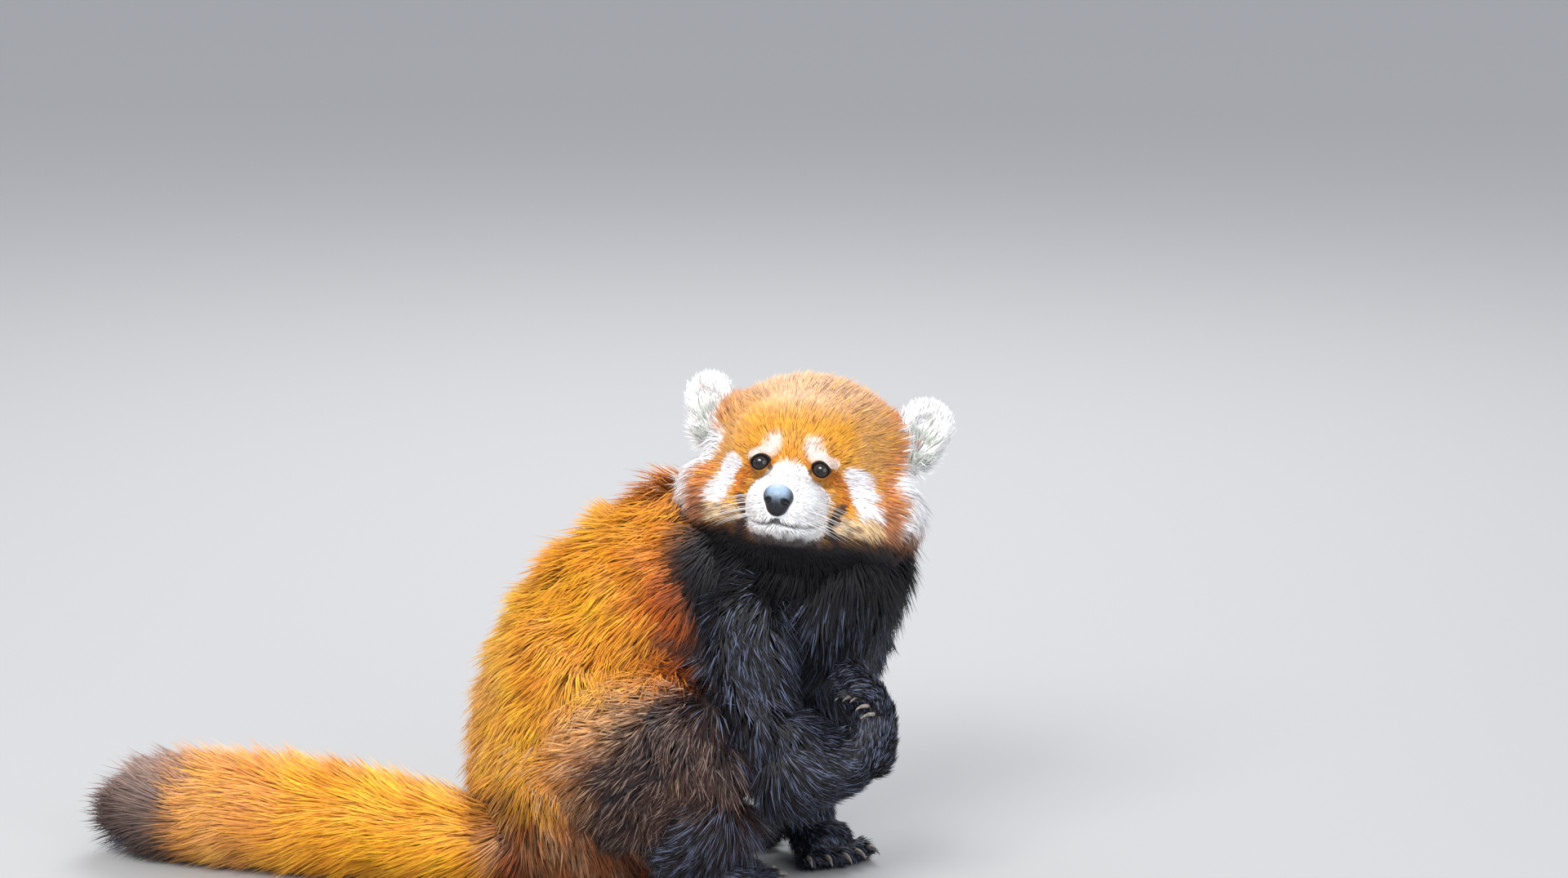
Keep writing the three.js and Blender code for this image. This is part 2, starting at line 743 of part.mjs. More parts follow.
function handFinger(toe) {
  const spread = (toe * HAND.width) / 4.6;
  const shorter = Math.abs(toe) * 2.5;
  const bend = [
    handPoint(20 - shorter, spread, 0),
    handPoint(36 - shorter, spread * 1.12, 2),
    handPoint(46 - shorter, spread * 1.1, 12),
    handPoint(44 - shorter, spread * 1.05, 22),
  ];
  return bend;
}

function handSolid() {
  const palm = new Limb(
    [
      { at: handPoint(-12, 0, 0).toArray(), wide: 17, deep: 16 },
      { at: handPoint(8, 0, 0).toArray(), wide: 19, deep: 16 },
      { at: handPoint(34, 0, 1).toArray(), wide: 21, deep: 12 },
    ],
    { side: HAND.across.toArray(), around: 10, along: 5, cap: 0.3 },
  );
  const fingers = TOES.map((toe) =>
    new Limb(
      handFinger(toe).map((p) => ({ at: p.toArray(), wide: TOE_RADIUS, deep: TOE_RADIUS })),
      { side: HAND.across.toArray(), around: 6, along: 5, cap: 0.3 },
    ).solid(),
  );
  return joined([palm.solid(), ...fingers]);
}

function handClaw(toe) {
  const bend = handFinger(toe);
  const out = bend[3].clone().sub(bend[2]).normalize();
  const down = new THREE.Vector3().crossVectors(out, HAND.across).normalize();
  if (down.dot(HAND.up) > 0) down.negate();
  const root = bend[3].clone().addScaledVector(out, -3).addScaledVector(down, -2);
  return { root, out, down, side: HAND.across };
}

// Assemble. Every part is a form and, where it has a coat, its locks. Each form is cut by the forms
// before it, grown by the gap, and its locks by all other forms and by the locks before them.
const root = new THREE.Group();
const headGroup = new THREE.Group();
headGroup.applyMatrix4(headMatrix);
root.add(headGroup);

function addNode(name, solid, material, group = root) {
  const mesh = new THREE.Mesh(geometryOf(solid), material);
  mesh.name = name;
  group.add(mesh);
  return mesh;
}

// Nodes in the head's own frame.
addNode("head", headSolid(), rustFur, headGroup);
addNode("nose", noseSolid(), noseSkin, headGroup);
for (const { name, sign } of both) {
  addNode("ear_" + name, earSolid(sign), whiteFur, headGroup);
  const eye = ball([0, 0, 0], [EYE_RADIUS, EYE_RADIUS, EYE_RADIUS], ...EYE_FACETS);
  addNode("eye_" + name, eye, eyeGloss, headGroup).position.set(...eyeAt(sign));
}

const inBody = (solid) => solid.transform(headMatrix.toArray());
function headCutter() {
  const coarse = new Mass([0, -10, 0], HEAD_LUMPS, { detail: HEAD_CUTTER.detail, blend: 5 });
  const spaces = headLocks.map((lock) => lock.space);
  return inBody(joined([coarse.solid(GAP + HEAD_CUTTER.slack), ...spaces]));
}
const parts = [];
const cutters = [{ form: headCutter() }];
for (const { sign } of both) cutters.push({ form: inBody(earSolid(sign)) });

function addPart(name, material, form, locks = []) {
  parts.push({ name, material, form: onFloor(form(0)), locks });
  const spaces = locks.map((lock) => lock.space);
  cutters.push({ form: form(GAP), locks: spaces.length ? joined(spaces) : null });
}

function overlap(one, other) {
  const a = one.boundingBox();
  const b = other.boundingBox();
  return [0, 1, 2].every((k) => a.min[k] < b.max[k] && a.max[k] > b.min[k]);
}

function cutBy(solid, others) {
  const near = others.filter((other) => other && overlap(solid, other));
  return near.reduce((left, other) => left.subtract(other), solid);
}

// The head and ears stand first among the cutters, so part i is cutter i + FIRST_PART.
const FIRST_PART = cutters.length;
function nodeOf({ form, locks }, i) {
  const own = i + FIRST_PART;
  const before = cutters.slice(0, own);
  const body = cutBy(form, before.map((c) => c.form));
  if (!locks.length) return largest(body);
  const others = cutters.filter((c, k) => k !== own).map((c) => c.form);
  const coat = cutBy(onFloor(joined(locks.map((lock) => lockSolid(lock)))), others);
  return largest(body.add(cutBy(coat, before.map((c) => c.locks))));
}

// The head as other parts see it: a lock under it is left out.
const headInverse = headMatrix.clone().invert();
const headCover = {
  holds: (point) => headMass.away(point.clone().applyMatrix4(headInverse)) < 0,
};

const TOWARDS_TIP = 1;
const TOWARDS_START = -1;
function addLimb(name, material, limb, sense, hiding, range) {
  const locks = limb.coat ? locksAlong(limb, sense, hiding, range) : [];
  addPart(name, material, (grow) => limb.solid(grow), locks);
}

function addLengths(names, limb, cuts, sense, hiding, range) {
  const locks = locksAlong(limb, sense, hiding, range);
  Object.entries(names).forEach(([name, material], k) => {
    addPart(name, material, (grow) => lengthOf(limb, cuts, k, grow), locksBetween(locks, cuts, k));
  });
}

const nearTorso = [neckLimb, headCover, upperArmRight, upperArmLeft, thighRight, thighLeft, tailLimb];
const trunk = [torsoLimb, neckLimb];
const armRows = { from: 0.1, to: 0.8 };
const thighRows = { from: 0.2, to: 0.95 };
addLimb("neck", blackFur, neckLimb, TOWARDS_START, [headCover], { from: 0.25, to: 0.9 });
addLengths({ chest: blackFur, torso: rustFur }, torsoLimb, TORSO_CUTS, TOWARDS_START, nearTorso, {
  from: 0.1,
  to: 0.95,
});
addLimb("upper_arm_right", blackFur, upperArmRight, TOWARDS_TIP, trunk, armRows);
addLimb("upper_arm_left", blackFur, upperArmLeft, TOWARDS_TIP, trunk, armRows);
addLimb("forearm_right", blackFur, new Limb(FOREARM_RIGHT, limbShape));
addLimb("forearm_left", blackFur, new Limb(FOREARM_LEFT, limbShape));
addLimb("thigh_right", brownFur, thighRight, TOWARDS_START, [torsoLimb], thighRows);
addLimb("thigh_left", brownFur, thighLeft, TOWARDS_START, [torsoLimb], thighRows);
addLimb("shank_right", blackFur, new Limb(SHANK_RIGHT, limbShape));
addLimb("shank_left", blackFur, new Limb(mirrored(SHANK_RIGHT), limbShape));
const tailNames = { tail_base: rustFur, tail_middle: rustFur, tail_tip: brownFur };
const tailRows = { from: 0.02, to: 0.89, brush: true };
addLengths(tailNames, tailLimb, TAIL_CUTS, TOWARDS_TIP, [torsoLimb], tailRows);
for (const [foot, plan] of Object.entries(FEET)) {
  const shape = footPlan(plan);
  TOES.forEach((toe, i) => {
    addPart(`claw_${foot}_${i + 1}`, clawHorn, (grow) => clawForm(footClaw(shape, toe), grow));
  });
  addPart(foot, blackFur, () => footSolid(shape));
}
TOES.forEach((toe, i) => {
  addPart(`claw_forepaw_right_${i + 1}`, clawHorn, (grow) => clawForm(handClaw(toe), grow));
});
addPart("forepaw_right", blackFur, handSolid);

parts.forEach((part, i) => addNode(part.name, nodeOf(part, i), part.material));

// The origin is at the middle of the bounding box, on the floor.
const bounds = new THREE.Box3().setFromObject(root, true);
const middle = bounds.getCenter(new THREE.Vector3());
root.position.set(-middle.x, -middle.y, 0);
const redPanda = new THREE.Group();
redPanda.add(root);

export default redPanda;
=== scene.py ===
"""A red panda on its haunches, life size, as a museum shows it: skin, coat, eyes, nose, claws, whiskers.

Sizes are in millimetres in the panda's own frame: the body points to +X, the tail to -X, the face to
-Y, and the floor is at zero. The last step of each piece brings it into the frame, in metres.
"""

import math

import bmesh
import bpy
import numpy as np
from mathutils import Matrix, Vector
from mathutils.kdtree import KDTree


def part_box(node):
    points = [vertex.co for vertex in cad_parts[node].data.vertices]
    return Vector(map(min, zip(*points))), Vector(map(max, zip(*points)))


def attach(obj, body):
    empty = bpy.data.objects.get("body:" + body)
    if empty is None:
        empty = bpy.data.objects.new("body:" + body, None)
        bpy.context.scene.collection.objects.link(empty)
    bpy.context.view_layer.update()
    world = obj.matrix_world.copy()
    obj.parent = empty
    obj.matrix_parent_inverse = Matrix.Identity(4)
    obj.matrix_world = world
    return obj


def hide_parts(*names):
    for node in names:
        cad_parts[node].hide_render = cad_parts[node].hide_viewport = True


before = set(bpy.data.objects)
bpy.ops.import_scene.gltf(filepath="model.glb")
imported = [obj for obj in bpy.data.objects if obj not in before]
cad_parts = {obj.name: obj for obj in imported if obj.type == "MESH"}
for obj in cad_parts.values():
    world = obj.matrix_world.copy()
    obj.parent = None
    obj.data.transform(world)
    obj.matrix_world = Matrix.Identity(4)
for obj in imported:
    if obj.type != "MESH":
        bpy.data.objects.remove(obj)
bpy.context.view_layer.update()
draws = np.random.default_rng(7)

# The head and its features, in the head's own frame.
HEAD_AT = (104, -14, 275)
HEAD_NOD, HEAD_ROLL, HEAD_YAW = (math.radians(a) for a in (-12, 5, -11))
HEAD_BLEND = 5
HEAD_LUMPS = [
    ((0, 6, 14), (65, 60, 57)),
    ((0, -28, 22), (44, 34, 34)),
    ((-42, -4, -13), (38, 36, 33)),
    ((42, -4, -13), (38, 36, 33)),
    ((0, -12, -31), (50, 41, 25)),
    ((0, -60, -13), (25, 32, 19)),
    ((0, -50, -27), (20, 26, 12)),
]
EYE_RADIUS = 6.6
EYE_AT = (20.5, -57.5, 12)
NOSE_LUMPS = [((0, -90, -7.5), (10, 8, 8)), ((0, -90, -14.5), (6.8, 7, 6.2))]
NOSTRIL_AT = (5.6, -98.5, -10.5)
NOSTRIL_SIZE = (2.4, 3.4, 2)
EAR_AT = (73, 12, 41)
EAR_TURN = (-0.1, 0.2, 0.3)
EAR_LUMPS = [((0, 0, 7), (19, 8, 17.5)), ((-1, 0, -8), (14, 8, 17.5))]
EAR_CUP = [((0, -7, 4), (11.5, 9, 11.5)), ((-1, -7, -7), (8, 9, 11))]
EAR_BLEND = 2
EAR_FUR = 3.2  # how deep the fur stands on the ears

# The body: stations (place, half width, half depth) out to the tips of the coat.
TORSO = [
    ((-46, 4, -16), 62, 66),
    ((-49, 4, 40), 76, 78),
    ((-46, 4, 88), 80, 82),
    ((-34, 3, 132), 78, 84),
    ((-2, 2, 174), 72, 87),
    ((46, 2, 200), 68, 88),
    ((88, 4, 206), 66, 82),
    ((118, 8, 200), 58, 72),
]
NECK = [((88, 4, 190), 64, 76), ((101, -2, 226), 72, 80), ((105, -10, 262), 62, 73)]
UPPER_ARM_RIGHT = [
    ((48, -36, 210), 28, 36),
    ((58, -50, 170), 28, 38),
    ((72, -60, 122), 26, 34),
    ((82, -64, 86), 20, 24),
]
FOREARM_RIGHT = [
    ((70, -64, 94), 22, 26),
    ((100, -66, 93), 26, 29),
    ((129, -66, 95), 22, 24),
    ((148, -66, 103), 18, 19),
]
UPPER_ARM_LEFT = [
    ((123, 30, 210), 32, 46),
    ((125, 42, 170), 32, 44),
    ((115, 50, 128), 29, 40),
    ((101, 50, 98), 25, 31),
]
FOREARM_LEFT = [
    ((97, 50, 116), 25, 29),
    ((97, 46, 78), 25, 29),
    ((100, 42, 44), 23, 26),
    ((106, 38, 12), 20, 22),
]
THIGH_RIGHT = [
    ((-66, -36, 84), 34, 54),
    ((-24, -52, 94), 36, 66),
    ((24, -60, 86), 32, 56),
    ((58, -62, 70), 24, 36),
]
SHANK_RIGHT = [((56, -60, 76), 22, 30), ((34, -62, 46), 24, 30), ((14, -62, 14), 20, 22)]
TAIL = [
    ((-70, -24, 36), 26, 28),
    ((-114, -32, 32), 32, 32),
    ((-165, -20, 35), 36, 36),
    ((-222, -4, 38), 40, 39),
    ((-282, 13, 39), 41, 40),
    ((-334, 30, 36), 35, 36),
    ((-388, 51, 24), 14, 14),
]
TAIL_END = -388
BODY_MIDDLE = 4

# Where long hair hangs over a joint: place, reach, added length and way.
FRINGES = (
    ((66, -62, 84), 30, 18, (0, 0, -1.4)),
    ((64, -62, 66), 22, 9, (1.6, 0, -1.2)),
    ((120, 46, 100), 26, 14, (1.4, 0, -0.6)),
    ((76, 42, 50), 22, 10, (-1.4, 0, -0.4)),
)


def mirrored(stations):
    """The same limb on the other side of the body."""
    return [((x, 2 * BODY_MIDDLE - y, z), wide, deep) for (x, y, z), wide, deep in stations]


# Each coat: how deep it stands, how long and wide a tuft is, how many grow on a square centimetre,
# how far it falls instead of following the limb, how much it swirls and which way along the limb it lies.
COAT_KEYS = ("depth", "length", "width", "count", "fall", "curl", "sense")
COAT_ROWS = {
    "torso": (20, 29, 1.1, 50, 0.45, 1.2, -1),
    "neck": (16, 26, 1.05, 50, 0.45, 1.0, -1),
    "arm": (12, 21, 1.0, 62, 0.25, 1.4, 1),
    "forearm": (7, 14, 0.9, 78, 0.2, 1.4, 1),
    "thigh": (16, 21, 1.05, 66, 0.9, 2.2, -1),
    "shank": (7, 16, 0.9, 72, 0.2, 1.6, 1),
    "tail": (18, 34, 1.05, 94, 0, 1.1, 1),
    "foot": (3.5, 8, 0.8, 130, 0, 0.6, 1),
}
COATS = {name: dict(zip(COAT_KEYS, row)) for name, row in COAT_ROWS.items()}
HEAD_INSET = 4
HEAD_CURL = 0.7

# Feet and the raised hand.
TOES = (-2, -1, 0, 1, 2)
TOE_FAN = 0.16
TOE_RADIUS = 7.5
TOE_START = 0.62  # of the foot's length, from the heel
TOE_REACH = 0.33  # of the foot's length, from there on
CLAW_LENGTH = 10.5
CLAW_HEIGHT = 10  # of a foot's claws over the floor
HAND_CLAW_SIZE = 0.72  # of a foot's claw
FEET = {
    "forepaw_left": {"at": (104, 44, 0), "heading": -58, "length": 56, "width": 50},
    "hindfoot_right": {"at": (12, -62, 0), "heading": 16, "length": 82, "width": 52},
    "hindfoot_left": {"at": (10, 70, 0), "heading": 6, "length": 82, "width": 52},
}
FOOT_HEIGHT = 15
HAND_WRIST = np.array((145, -66, 97))
HAND_UP = np.array((0.25, 0, 0.97))
HAND_PALM = np.array((-0.82, -0.5, 0.2))
HAND_WIDTH = 38

# Colours, as the eye reads them, from 0 to 255.
TONES = {
    "rust_deep": (194, 88, 16),
    "rust": (236, 132, 26),
    "gold": (252, 182, 36),
    "peach": (250, 196, 134),
    "brown": (92, 60, 46),
    "tan": (206, 170, 136),
    "dark_brown": (52, 32, 26),
    "ash": (158, 132, 120),
    "black": (17, 15, 21),
    # a painted bluish sheen for pale tufts on the black coat
    "painted_blue_sheen": (112, 122, 152),
    "white": (255, 253, 252),
    "cheek": (246, 238, 238),
    "cream": (230, 196, 150),
    "face": (222, 150, 34),
    "brow": (232, 144, 20),
    "brow_spot": (246, 224, 214),
    "crown": (216, 168, 124),
    "tear": (214, 124, 42),
    # painted shade in the cup of the ear
    "ear_cup_shade": (196, 200, 192),
    "lid": (22, 17, 18),
    "pad": (78, 72, 76),
    # a painted sheen on the top of the nose
    "nose_painted_sheen": (150, 172, 194),
    "nose_low": (30, 31, 35),
}

SIDES = (-1, 1)  # the animal's right and left
FINE_BALL = (32, 20)  # segments round and rings
EYE_BALL = (48, 32)
VOXEL = 3.0
NOSE_VOXEL = 0.6
NOSE_BLEND = 1.5
FACE_FROM = -22  # the face is finer in front of this
ROOT_SINK = 1.0  # how deep a tuft's root lies in the skin
FLOOR_CLEARANCE = 0.5
CLUMP_SHARE = 0.1  # of the tufts, to whose tips the others are drawn
CLUMP_PULL = 0.34
PATCH = 0.003  # the length of a tuft on the unwrap
TRIANGLES_A_PIECE = 190000
LIE_ROUNDS = 5
BRIGHTEST = 0.94


def unit(v):
    """Vectors brought to length one."""
    v = np.asarray(v, float)
    return v / np.maximum(np.linalg.norm(v, axis=-1, keepdims=True), 1e-9)


HAND_UP = unit(HAND_UP)
HAND_PALM = unit(HAND_PALM)
HAND_ACROSS = unit(np.cross(HAND_UP, HAND_PALM))


def turn(angle, axis):
    return np.array(Matrix.Rotation(angle, 3, axis))


def on_side(at, sign):
    """A place that is given for the left side, on either side."""
    return np.array((sign * at[0], *at[1:]), float)


HEAD_AXES = turn(HEAD_YAW, "Z") @ turn(HEAD_NOD, "X") @ turn(HEAD_ROLL, "Y")


def from_head(points):
    return np.asarray(points, float) @ HEAD_AXES.T + np.array(HEAD_AT, float)


def to_head(points):
    return (np.asarray(points, float) - np.array(HEAD_AT, float)) @ HEAD_AXES


# The CAD's eye gives where the panda's own frame lies.
eye_low, eye_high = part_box("eye_right")
PLACE = np.array((eye_low + eye_high) / 2) - from_head(on_side(EYE_AT, -1)) / 1000


def to_frame(points):
    return np.asarray(points, float) / 1000 + PLACE


def from_frame(points):
    return (np.asarray(points, float) - PLACE) * 1000


# Plain maths on arrays.
def ramp(x, start, end):
    """0 before start, 1 after end, smooth between them."""
    t = np.clip((x - start) / (end - start), 0, 1)
    return t * t * (3 - 2 * t)


def bell(x, half, power=2):
    """1 at zero, falling off to both sides past half."""
    return np.exp(-((x / half) ** power))


def mix(a, b, share):
    share = np.asarray(share)
    if np.ndim(a) > share.ndim or np.ndim(b) > share.ndim:
        share = share[..., None]
    return a * (1 - share) + b * share


def hashed(cells, seed):
    dots = cells @ np.array((127.1, 311.7, 74.7)) + seed * 17.3
    return np.modf(np.abs(np.sin(dots) * 43758.5453))[0]


def noise(points, size, seed=0):
    """Soft noise from 0 to 1 over points, with blotches of about size."""
    q = points / size
    cell = np.floor(q)
    f = q - cell
    f = f * f * (3 - 2 * f)
    total = 0
    for corner in np.ndindex(2, 2, 2):
        corner = np.array(corner)
        weight = np.prod(np.where(corner, f, 1 - f), axis=1)
        total = total + weight * hashed(cell + corner, seed)
    return total


def tone(name):
    """A named colour as light."""
    c = np.array(TONES[name]) / 255
    return np.where(c <= 0.04045, c / 12.92, ((c + 0.055) / 1.055) ** 2.4)


def as_light(colour):
    return tone(colour) if isinstance(colour, str) else np.asarray(colour)


def layered(first, *coats):
    """A colour with others laid over it, each by its share. A colour is a tone's name or an array."""
    colour = np.atleast_2d(as_light(first))
    for over, share in coats:
        colour = mix(colour, as_light(over), share)
    return colour


def mass(points, lumps, blend):
    """About the distance from points to a smooth union of ellipsoids, negative inside."""
    total = 0
    for at, size in lumps:
        size = np.array(size, float)
        q = (points - np.array(at, float)) / size
        far = np.linalg.norm(q, axis=1)
        steep = np.maximum(np.linalg.norm(q / size, axis=1), 1e-6)
        total = total + np.exp(np.clip(-far * (far - 1) / steep / blend, -60, 60))
    return -blend * np.log(total)


def along(stations, u):
    """Place, half width and half depth at u from 0 to 1 on a smooth curve through the stations."""
    rows = np.array([(*at, wide, deep) for at, wide, deep in stations], float)
    rows = np.vstack([2 * rows[0] - rows[1], rows, 2 * rows[-1] - rows[-2]])
    x = np.clip(u, 0, 1) * (len(stations) - 1)
    k = np.minimum(x.astype(int), len(stations) - 2)
    t = (x - k)[:, None]
    a, b, c, d = (rows[k + i] for i in range(4))
    return 0.5 * (2 * b + (c - a) * t + (2 * a - 5 * b + 4 * c - d) * t**2 + (3 * b - a - 3 * c + d) * t**3)


class Limb:
    """A limb's axis as samples, each with its place, radii and directions."""

    def __init__(self, name, coat, stations, side=(0, 1, 0), samples=28, depth=None):
        self.name = name
        self.coat = coat
        inset = COATS[coat]["depth"] if depth is None else depth
        rows = along(stations, np.linspace(0, 1, samples))
        self.at = rows[:, :3]
        self.wide = np.maximum(rows[:, 3] - inset, 3)
        self.deep = np.maximum(rows[:, 4] - inset, 3)
        self.tangent = unit(np.gradient(self.at, axis=0))
        side = np.array(side, float)
        self.side = unit(side - (self.tangent @ side)[:, None] * self.tangent)
        self.across = np.cross(self.tangent, self.side)
        self.inset = inset

    def near(self, points):
        """The distance to the skin of this limb and the nearest sample for each point."""
        best = np.full(len(points), 1e9)
        index = np.zeros(len(points), int)
        for i in range(len(self.at)):
            offset = points - self.at[i]
            a = offset @ self.side[i] / self.wide[i]
            b = offset @ self.across[i] / self.deep[i]
            c = offset @ self.tangent[i] / min(self.wide[i], self.deep[i])
            far = (np.sqrt(a * a + b * b + c * c) - 1) * min(self.wide[i], self.deep[i])
            closer = far < best
            best[closer] = far[closer]
            index[closer] = i
        return best, index


def foot_axes(plan):
    heading = math.radians(plan["heading"])
    forward = np.array((math.cos(heading), math.sin(heading), 0))
    side = np.array((-math.sin(heading), math.cos(heading), 0))
    return forward, side


def toe_of(plan, toe):
    """Where a toe starts and which way it points."""
    forward, side = foot_axes(plan)
    direction = forward * math.cos(toe * TOE_FAN) + side * math.sin(toe * TOE_FAN)
    root = np.array(plan["at"]) + forward * (plan["length"] * TOE_START - abs(toe) * 3)
    return root + side * toe * plan["width"] / 5.2, direction


def foot_limbs(name, plan):
    forward, side = foot_axes(plan)
    heel = np.array(plan["at"], float)
    length, width, high = plan["length"], plan["width"], FOOT_HEIGHT
    sole = [
        (tuple(heel + forward * length * share + (0, 0, rise)), width * half, rise)
        for share, half, rise in ((0, 0.3, high), (0.35, 0.42, high), (0.72, 0.46, high * 0.8))
    ]
    limbs = [Limb(name, "foot", sole, side, 10)]
    for toe in TOES:
        root, direction = toe_of(plan, toe)
        end = root + direction * length * TOE_REACH
        toe_line = [
            ((root[0], root[1], TOE_RADIUS + 1), TOE_RADIUS, TOE_RADIUS),
            ((end[0], end[1], TOE_RADIUS - 0.6), TOE_RADIUS * 0.86, TOE_RADIUS * 0.86),
        ]
        limbs.append(Limb(name, "foot", toe_line, side, 6, depth=1.5))
    return limbs


def hand_point(rise, spread, curl):
    return tuple(HAND_WRIST + HAND_UP * rise + HAND_ACROSS * spread + HAND_PALM * curl)


def finger_line(toe):
    """The four points of a finger that curls over the palm."""
    spread = toe * HAND_WIDTH / 4.6
    shorter = abs(toe) * 2.5
    steps = ((20, 1, 0), (36, 1.12, 2), (46, 1.1, 12), (44, 1.05, 22))
    return [hand_point(rise - shorter, spread * share, curl) for rise, share, curl in steps]


def hand_limbs():
    palm = [(hand_point(-12, 0, 0), 17, 16), (hand_point(8, 0, 0), 19, 16), (hand_point(34, 0, 1), 21, 12)]
    pad = [(hand_point(2, 0, 8), 12, 12), (hand_point(24, 0, 13), 12, 12)]
    limbs = [
        Limb("forepaw_right", "foot", palm, HAND_ACROSS, 12),
        Limb("forepaw_right", "foot", pad, HAND_ACROSS, 6, depth=1.0),
    ]
    for toe in TOES:
        line = [(p, TOE_RADIUS + 1, TOE_RADIUS + 1) for p in finger_line(toe)]
        limbs.append(Limb("forepaw_right", "foot", line, HAND_ACROSS, 10, depth=1.0))
    return limbs


LIMBS = [
    Limb("torso", "torso", TORSO, samples=34),
    Limb("neck", "neck", NECK, samples=14),
    Limb("upper_arm_right", "arm", UPPER_ARM_RIGHT),
    Limb("upper_arm_left", "arm", UPPER_ARM_LEFT),
    Limb("forearm_right", "forearm", FOREARM_RIGHT),
    Limb("forearm_left", "forearm", FOREARM_LEFT),
    Limb("thigh_right", "thigh", THIGH_RIGHT),
    Limb("thigh_left", "thigh", mirrored(THIGH_RIGHT)),
    Limb("shank_right", "shank", SHANK_RIGHT),
    Limb("shank_left", "shank", mirrored(SHANK_RIGHT)),
    Limb("tail", "tail", TAIL, samples=44),
]
for foot, plan in FEET.items():
    LIMBS += foot_limbs(foot, plan)
LIMBS += hand_limbs()


# Blender helpers.
def deselect():
    if bpy.context.object and bpy.context.object.mode != "OBJECT":
        bpy.ops.object.mode_set(mode="OBJECT")
    bpy.ops.object.select_all(action="DESELECT")


def activate(piece):
    deselect()
    piece.select_set(True)
    bpy.context.view_layer.objects.active = piece


def apply_place(piece):
    activate(piece)
    bpy.ops.object.transform_apply(location=True, rotation=True, scale=True)


def apply_modifier(piece, kind, **values):
    activate(piece)
    modifier = piece.modifiers.new(kind.lower(), kind)
    for key, value in values.items():
        setattr(modifier, key, value)
    bpy.ops.object.modifier_apply(modifier=modifier.name)


def join(pieces, name):
    deselect()
    for piece in pieces:
        piece.select_set(True)
    bpy.context.view_layer.objects.active = pieces[0]
    bpy.ops.object.join()
    bpy.context.object.name = name
    return bpy.context.object


def add_ball(at, size, axes=np.eye(3), around=20, rings=12):
    """An ellipsoid at a place of the panda's frame, its half sizes along the columns of axes."""
    deselect()
    turned = Matrix(axes.tolist()).to_euler()
    bpy.ops.mesh.primitive_uv_sphere_add(
        segments=around,
        ring_count=rings,
        radius=1,
        location=to_frame(at),
        rotation=turned,
        scale=np.asarray(size, float) / 1000,
    )
    ball = bpy.context.object
    apply_place(ball)
    return ball


def read(items, key, width=3, kind=float):
    """A value of every item of a mesh, as rows."""
    values = np.empty(len(items) * width, kind)
    items.foreach_get(key, values)
    return values.reshape(-1, width)


def points_of(piece):
    return from_frame(read(piece.data.vertices, "co"))


def set_points(piece, points):
    piece.data.vertices.foreach_set("co", to_frame(points).astype(np.float32).ravel())
    piece.data.update()


def new_mesh(name, points, triangles):
    """A mesh object from arrays: points in the panda's frame and triangles by index."""
    data = bpy.data.meshes.new(name)
    data.vertices.add(len(points))
    data.vertices.foreach_set("co", to_frame(points).astype(np.float32).ravel())
    data.loops.add(len(triangles) * 3)
    data.loops.foreach_set("vertex_index", np.asarray(triangles, np.int32).ravel())
    data.polygons.add(len(triangles))
    data.polygons.foreach_set("loop_start", np.arange(0, len(triangles) * 3, 3, dtype=np.int32))
    data.polygons.foreach_set("use_smooth", np.ones(len(triangles), bool))
    data.update(calc_edges=True)
    piece = bpy.data.objects.new(name, data)
    bpy.context.scene.collection.objects.link(piece)
    return piece


def paint(piece, colours, name="markings"):
    layer = piece.data.color_attributes.new(name=name, type="FLOAT_COLOR", domain="POINT")
    rgba = np.ones((len(colours), 4), np.float32)
    rgba[:, :3] = colours
    layer.data.foreach_set("color", rgba.ravel())


# The skin.
def limb_balls(limb):
    """Ellipsoids set close along a limb, which the skin is drawn over."""
    balls = []
    count = len(limb.at)
    reach = np.minimum(limb.wide, limb.deep) * 0.85
    walked = np.concatenate([[0], np.cumsum(np.linalg.norm(np.diff(limb.at, axis=0), axis=1))])
    from_end = np.minimum(walked, walked[-1] - walked)
    step = 2 if count > 20 else 1
    for i in range(0, count, step):
        if from_end[i] < reach[i] + limb.inset * 0.5 and 0 < walked[-1] - 2.2 * reach[i]:
            continue
        axes = np.column_stack([limb.side[i], limb.across[i], limb.tangent[i]])
        balls.append(add_ball(limb.at[i], (limb.wide[i], limb.deep[i], reach[i]), axes))
    return balls


def head_balls():
    return [
        add_ball(from_head(at), np.array(size, float) - HEAD_INSET, HEAD_AXES, *FINE_BALL)
        for at, size in HEAD_LUMPS
    ]


def ear_axes(sign):
    nod, lean, spin = EAR_TURN
    return turn(nod, "X") @ turn(lean * sign, "Y") @ turn(spin * sign, "Z")


def to_ear(head_points, sign):
    """From the head's frame to that of an ear, whose cup opens to -Y and whose outer side is +X."""
    q = (head_points - on_side(EAR_AT, sign)) @ ear_axes(sign)
    return q * np.array((sign, 1, 1))


def from_ear(points, sign):
    q = np.asarray(points, float) * np.array((sign, 1, 1))
    return q @ ear_axes(sign).T + on_side(EAR_AT, sign)


def ear_balls(sign):
    axes = HEAD_AXES @ ear_axes(sign)
    return [add_ball(from_head(from_ear([at], sign)[0]), size, axes) for at, size in EAR_LUMPS]


def head_depth(h):
    """How deep the fur stands over the skin of the head, at points in its frame."""
    x, y, z = np.abs(h[:, 0]), h[:, 1], h[:, 2]
    muzzle = ramp(-y, 52, 66) * ramp(x, 44, 30)
    face = ramp(-y, 20, 46)
    crown = ramp(z, 30, 60)
    cheek = ramp(x, 40, 62)
    depth = 5.5 - 3 * face + 1.0 * crown * face + 2 * cheek * face
    return mix(depth, 1.3, muzzle)


def ear_field(h, sign):
    return mass(to_ear(h, sign), EAR_LUMPS, EAR_BLEND) + EAR_FUR


def nose_field(h):
    return mass(h, NOSE_LUMPS, NOSE_BLEND)


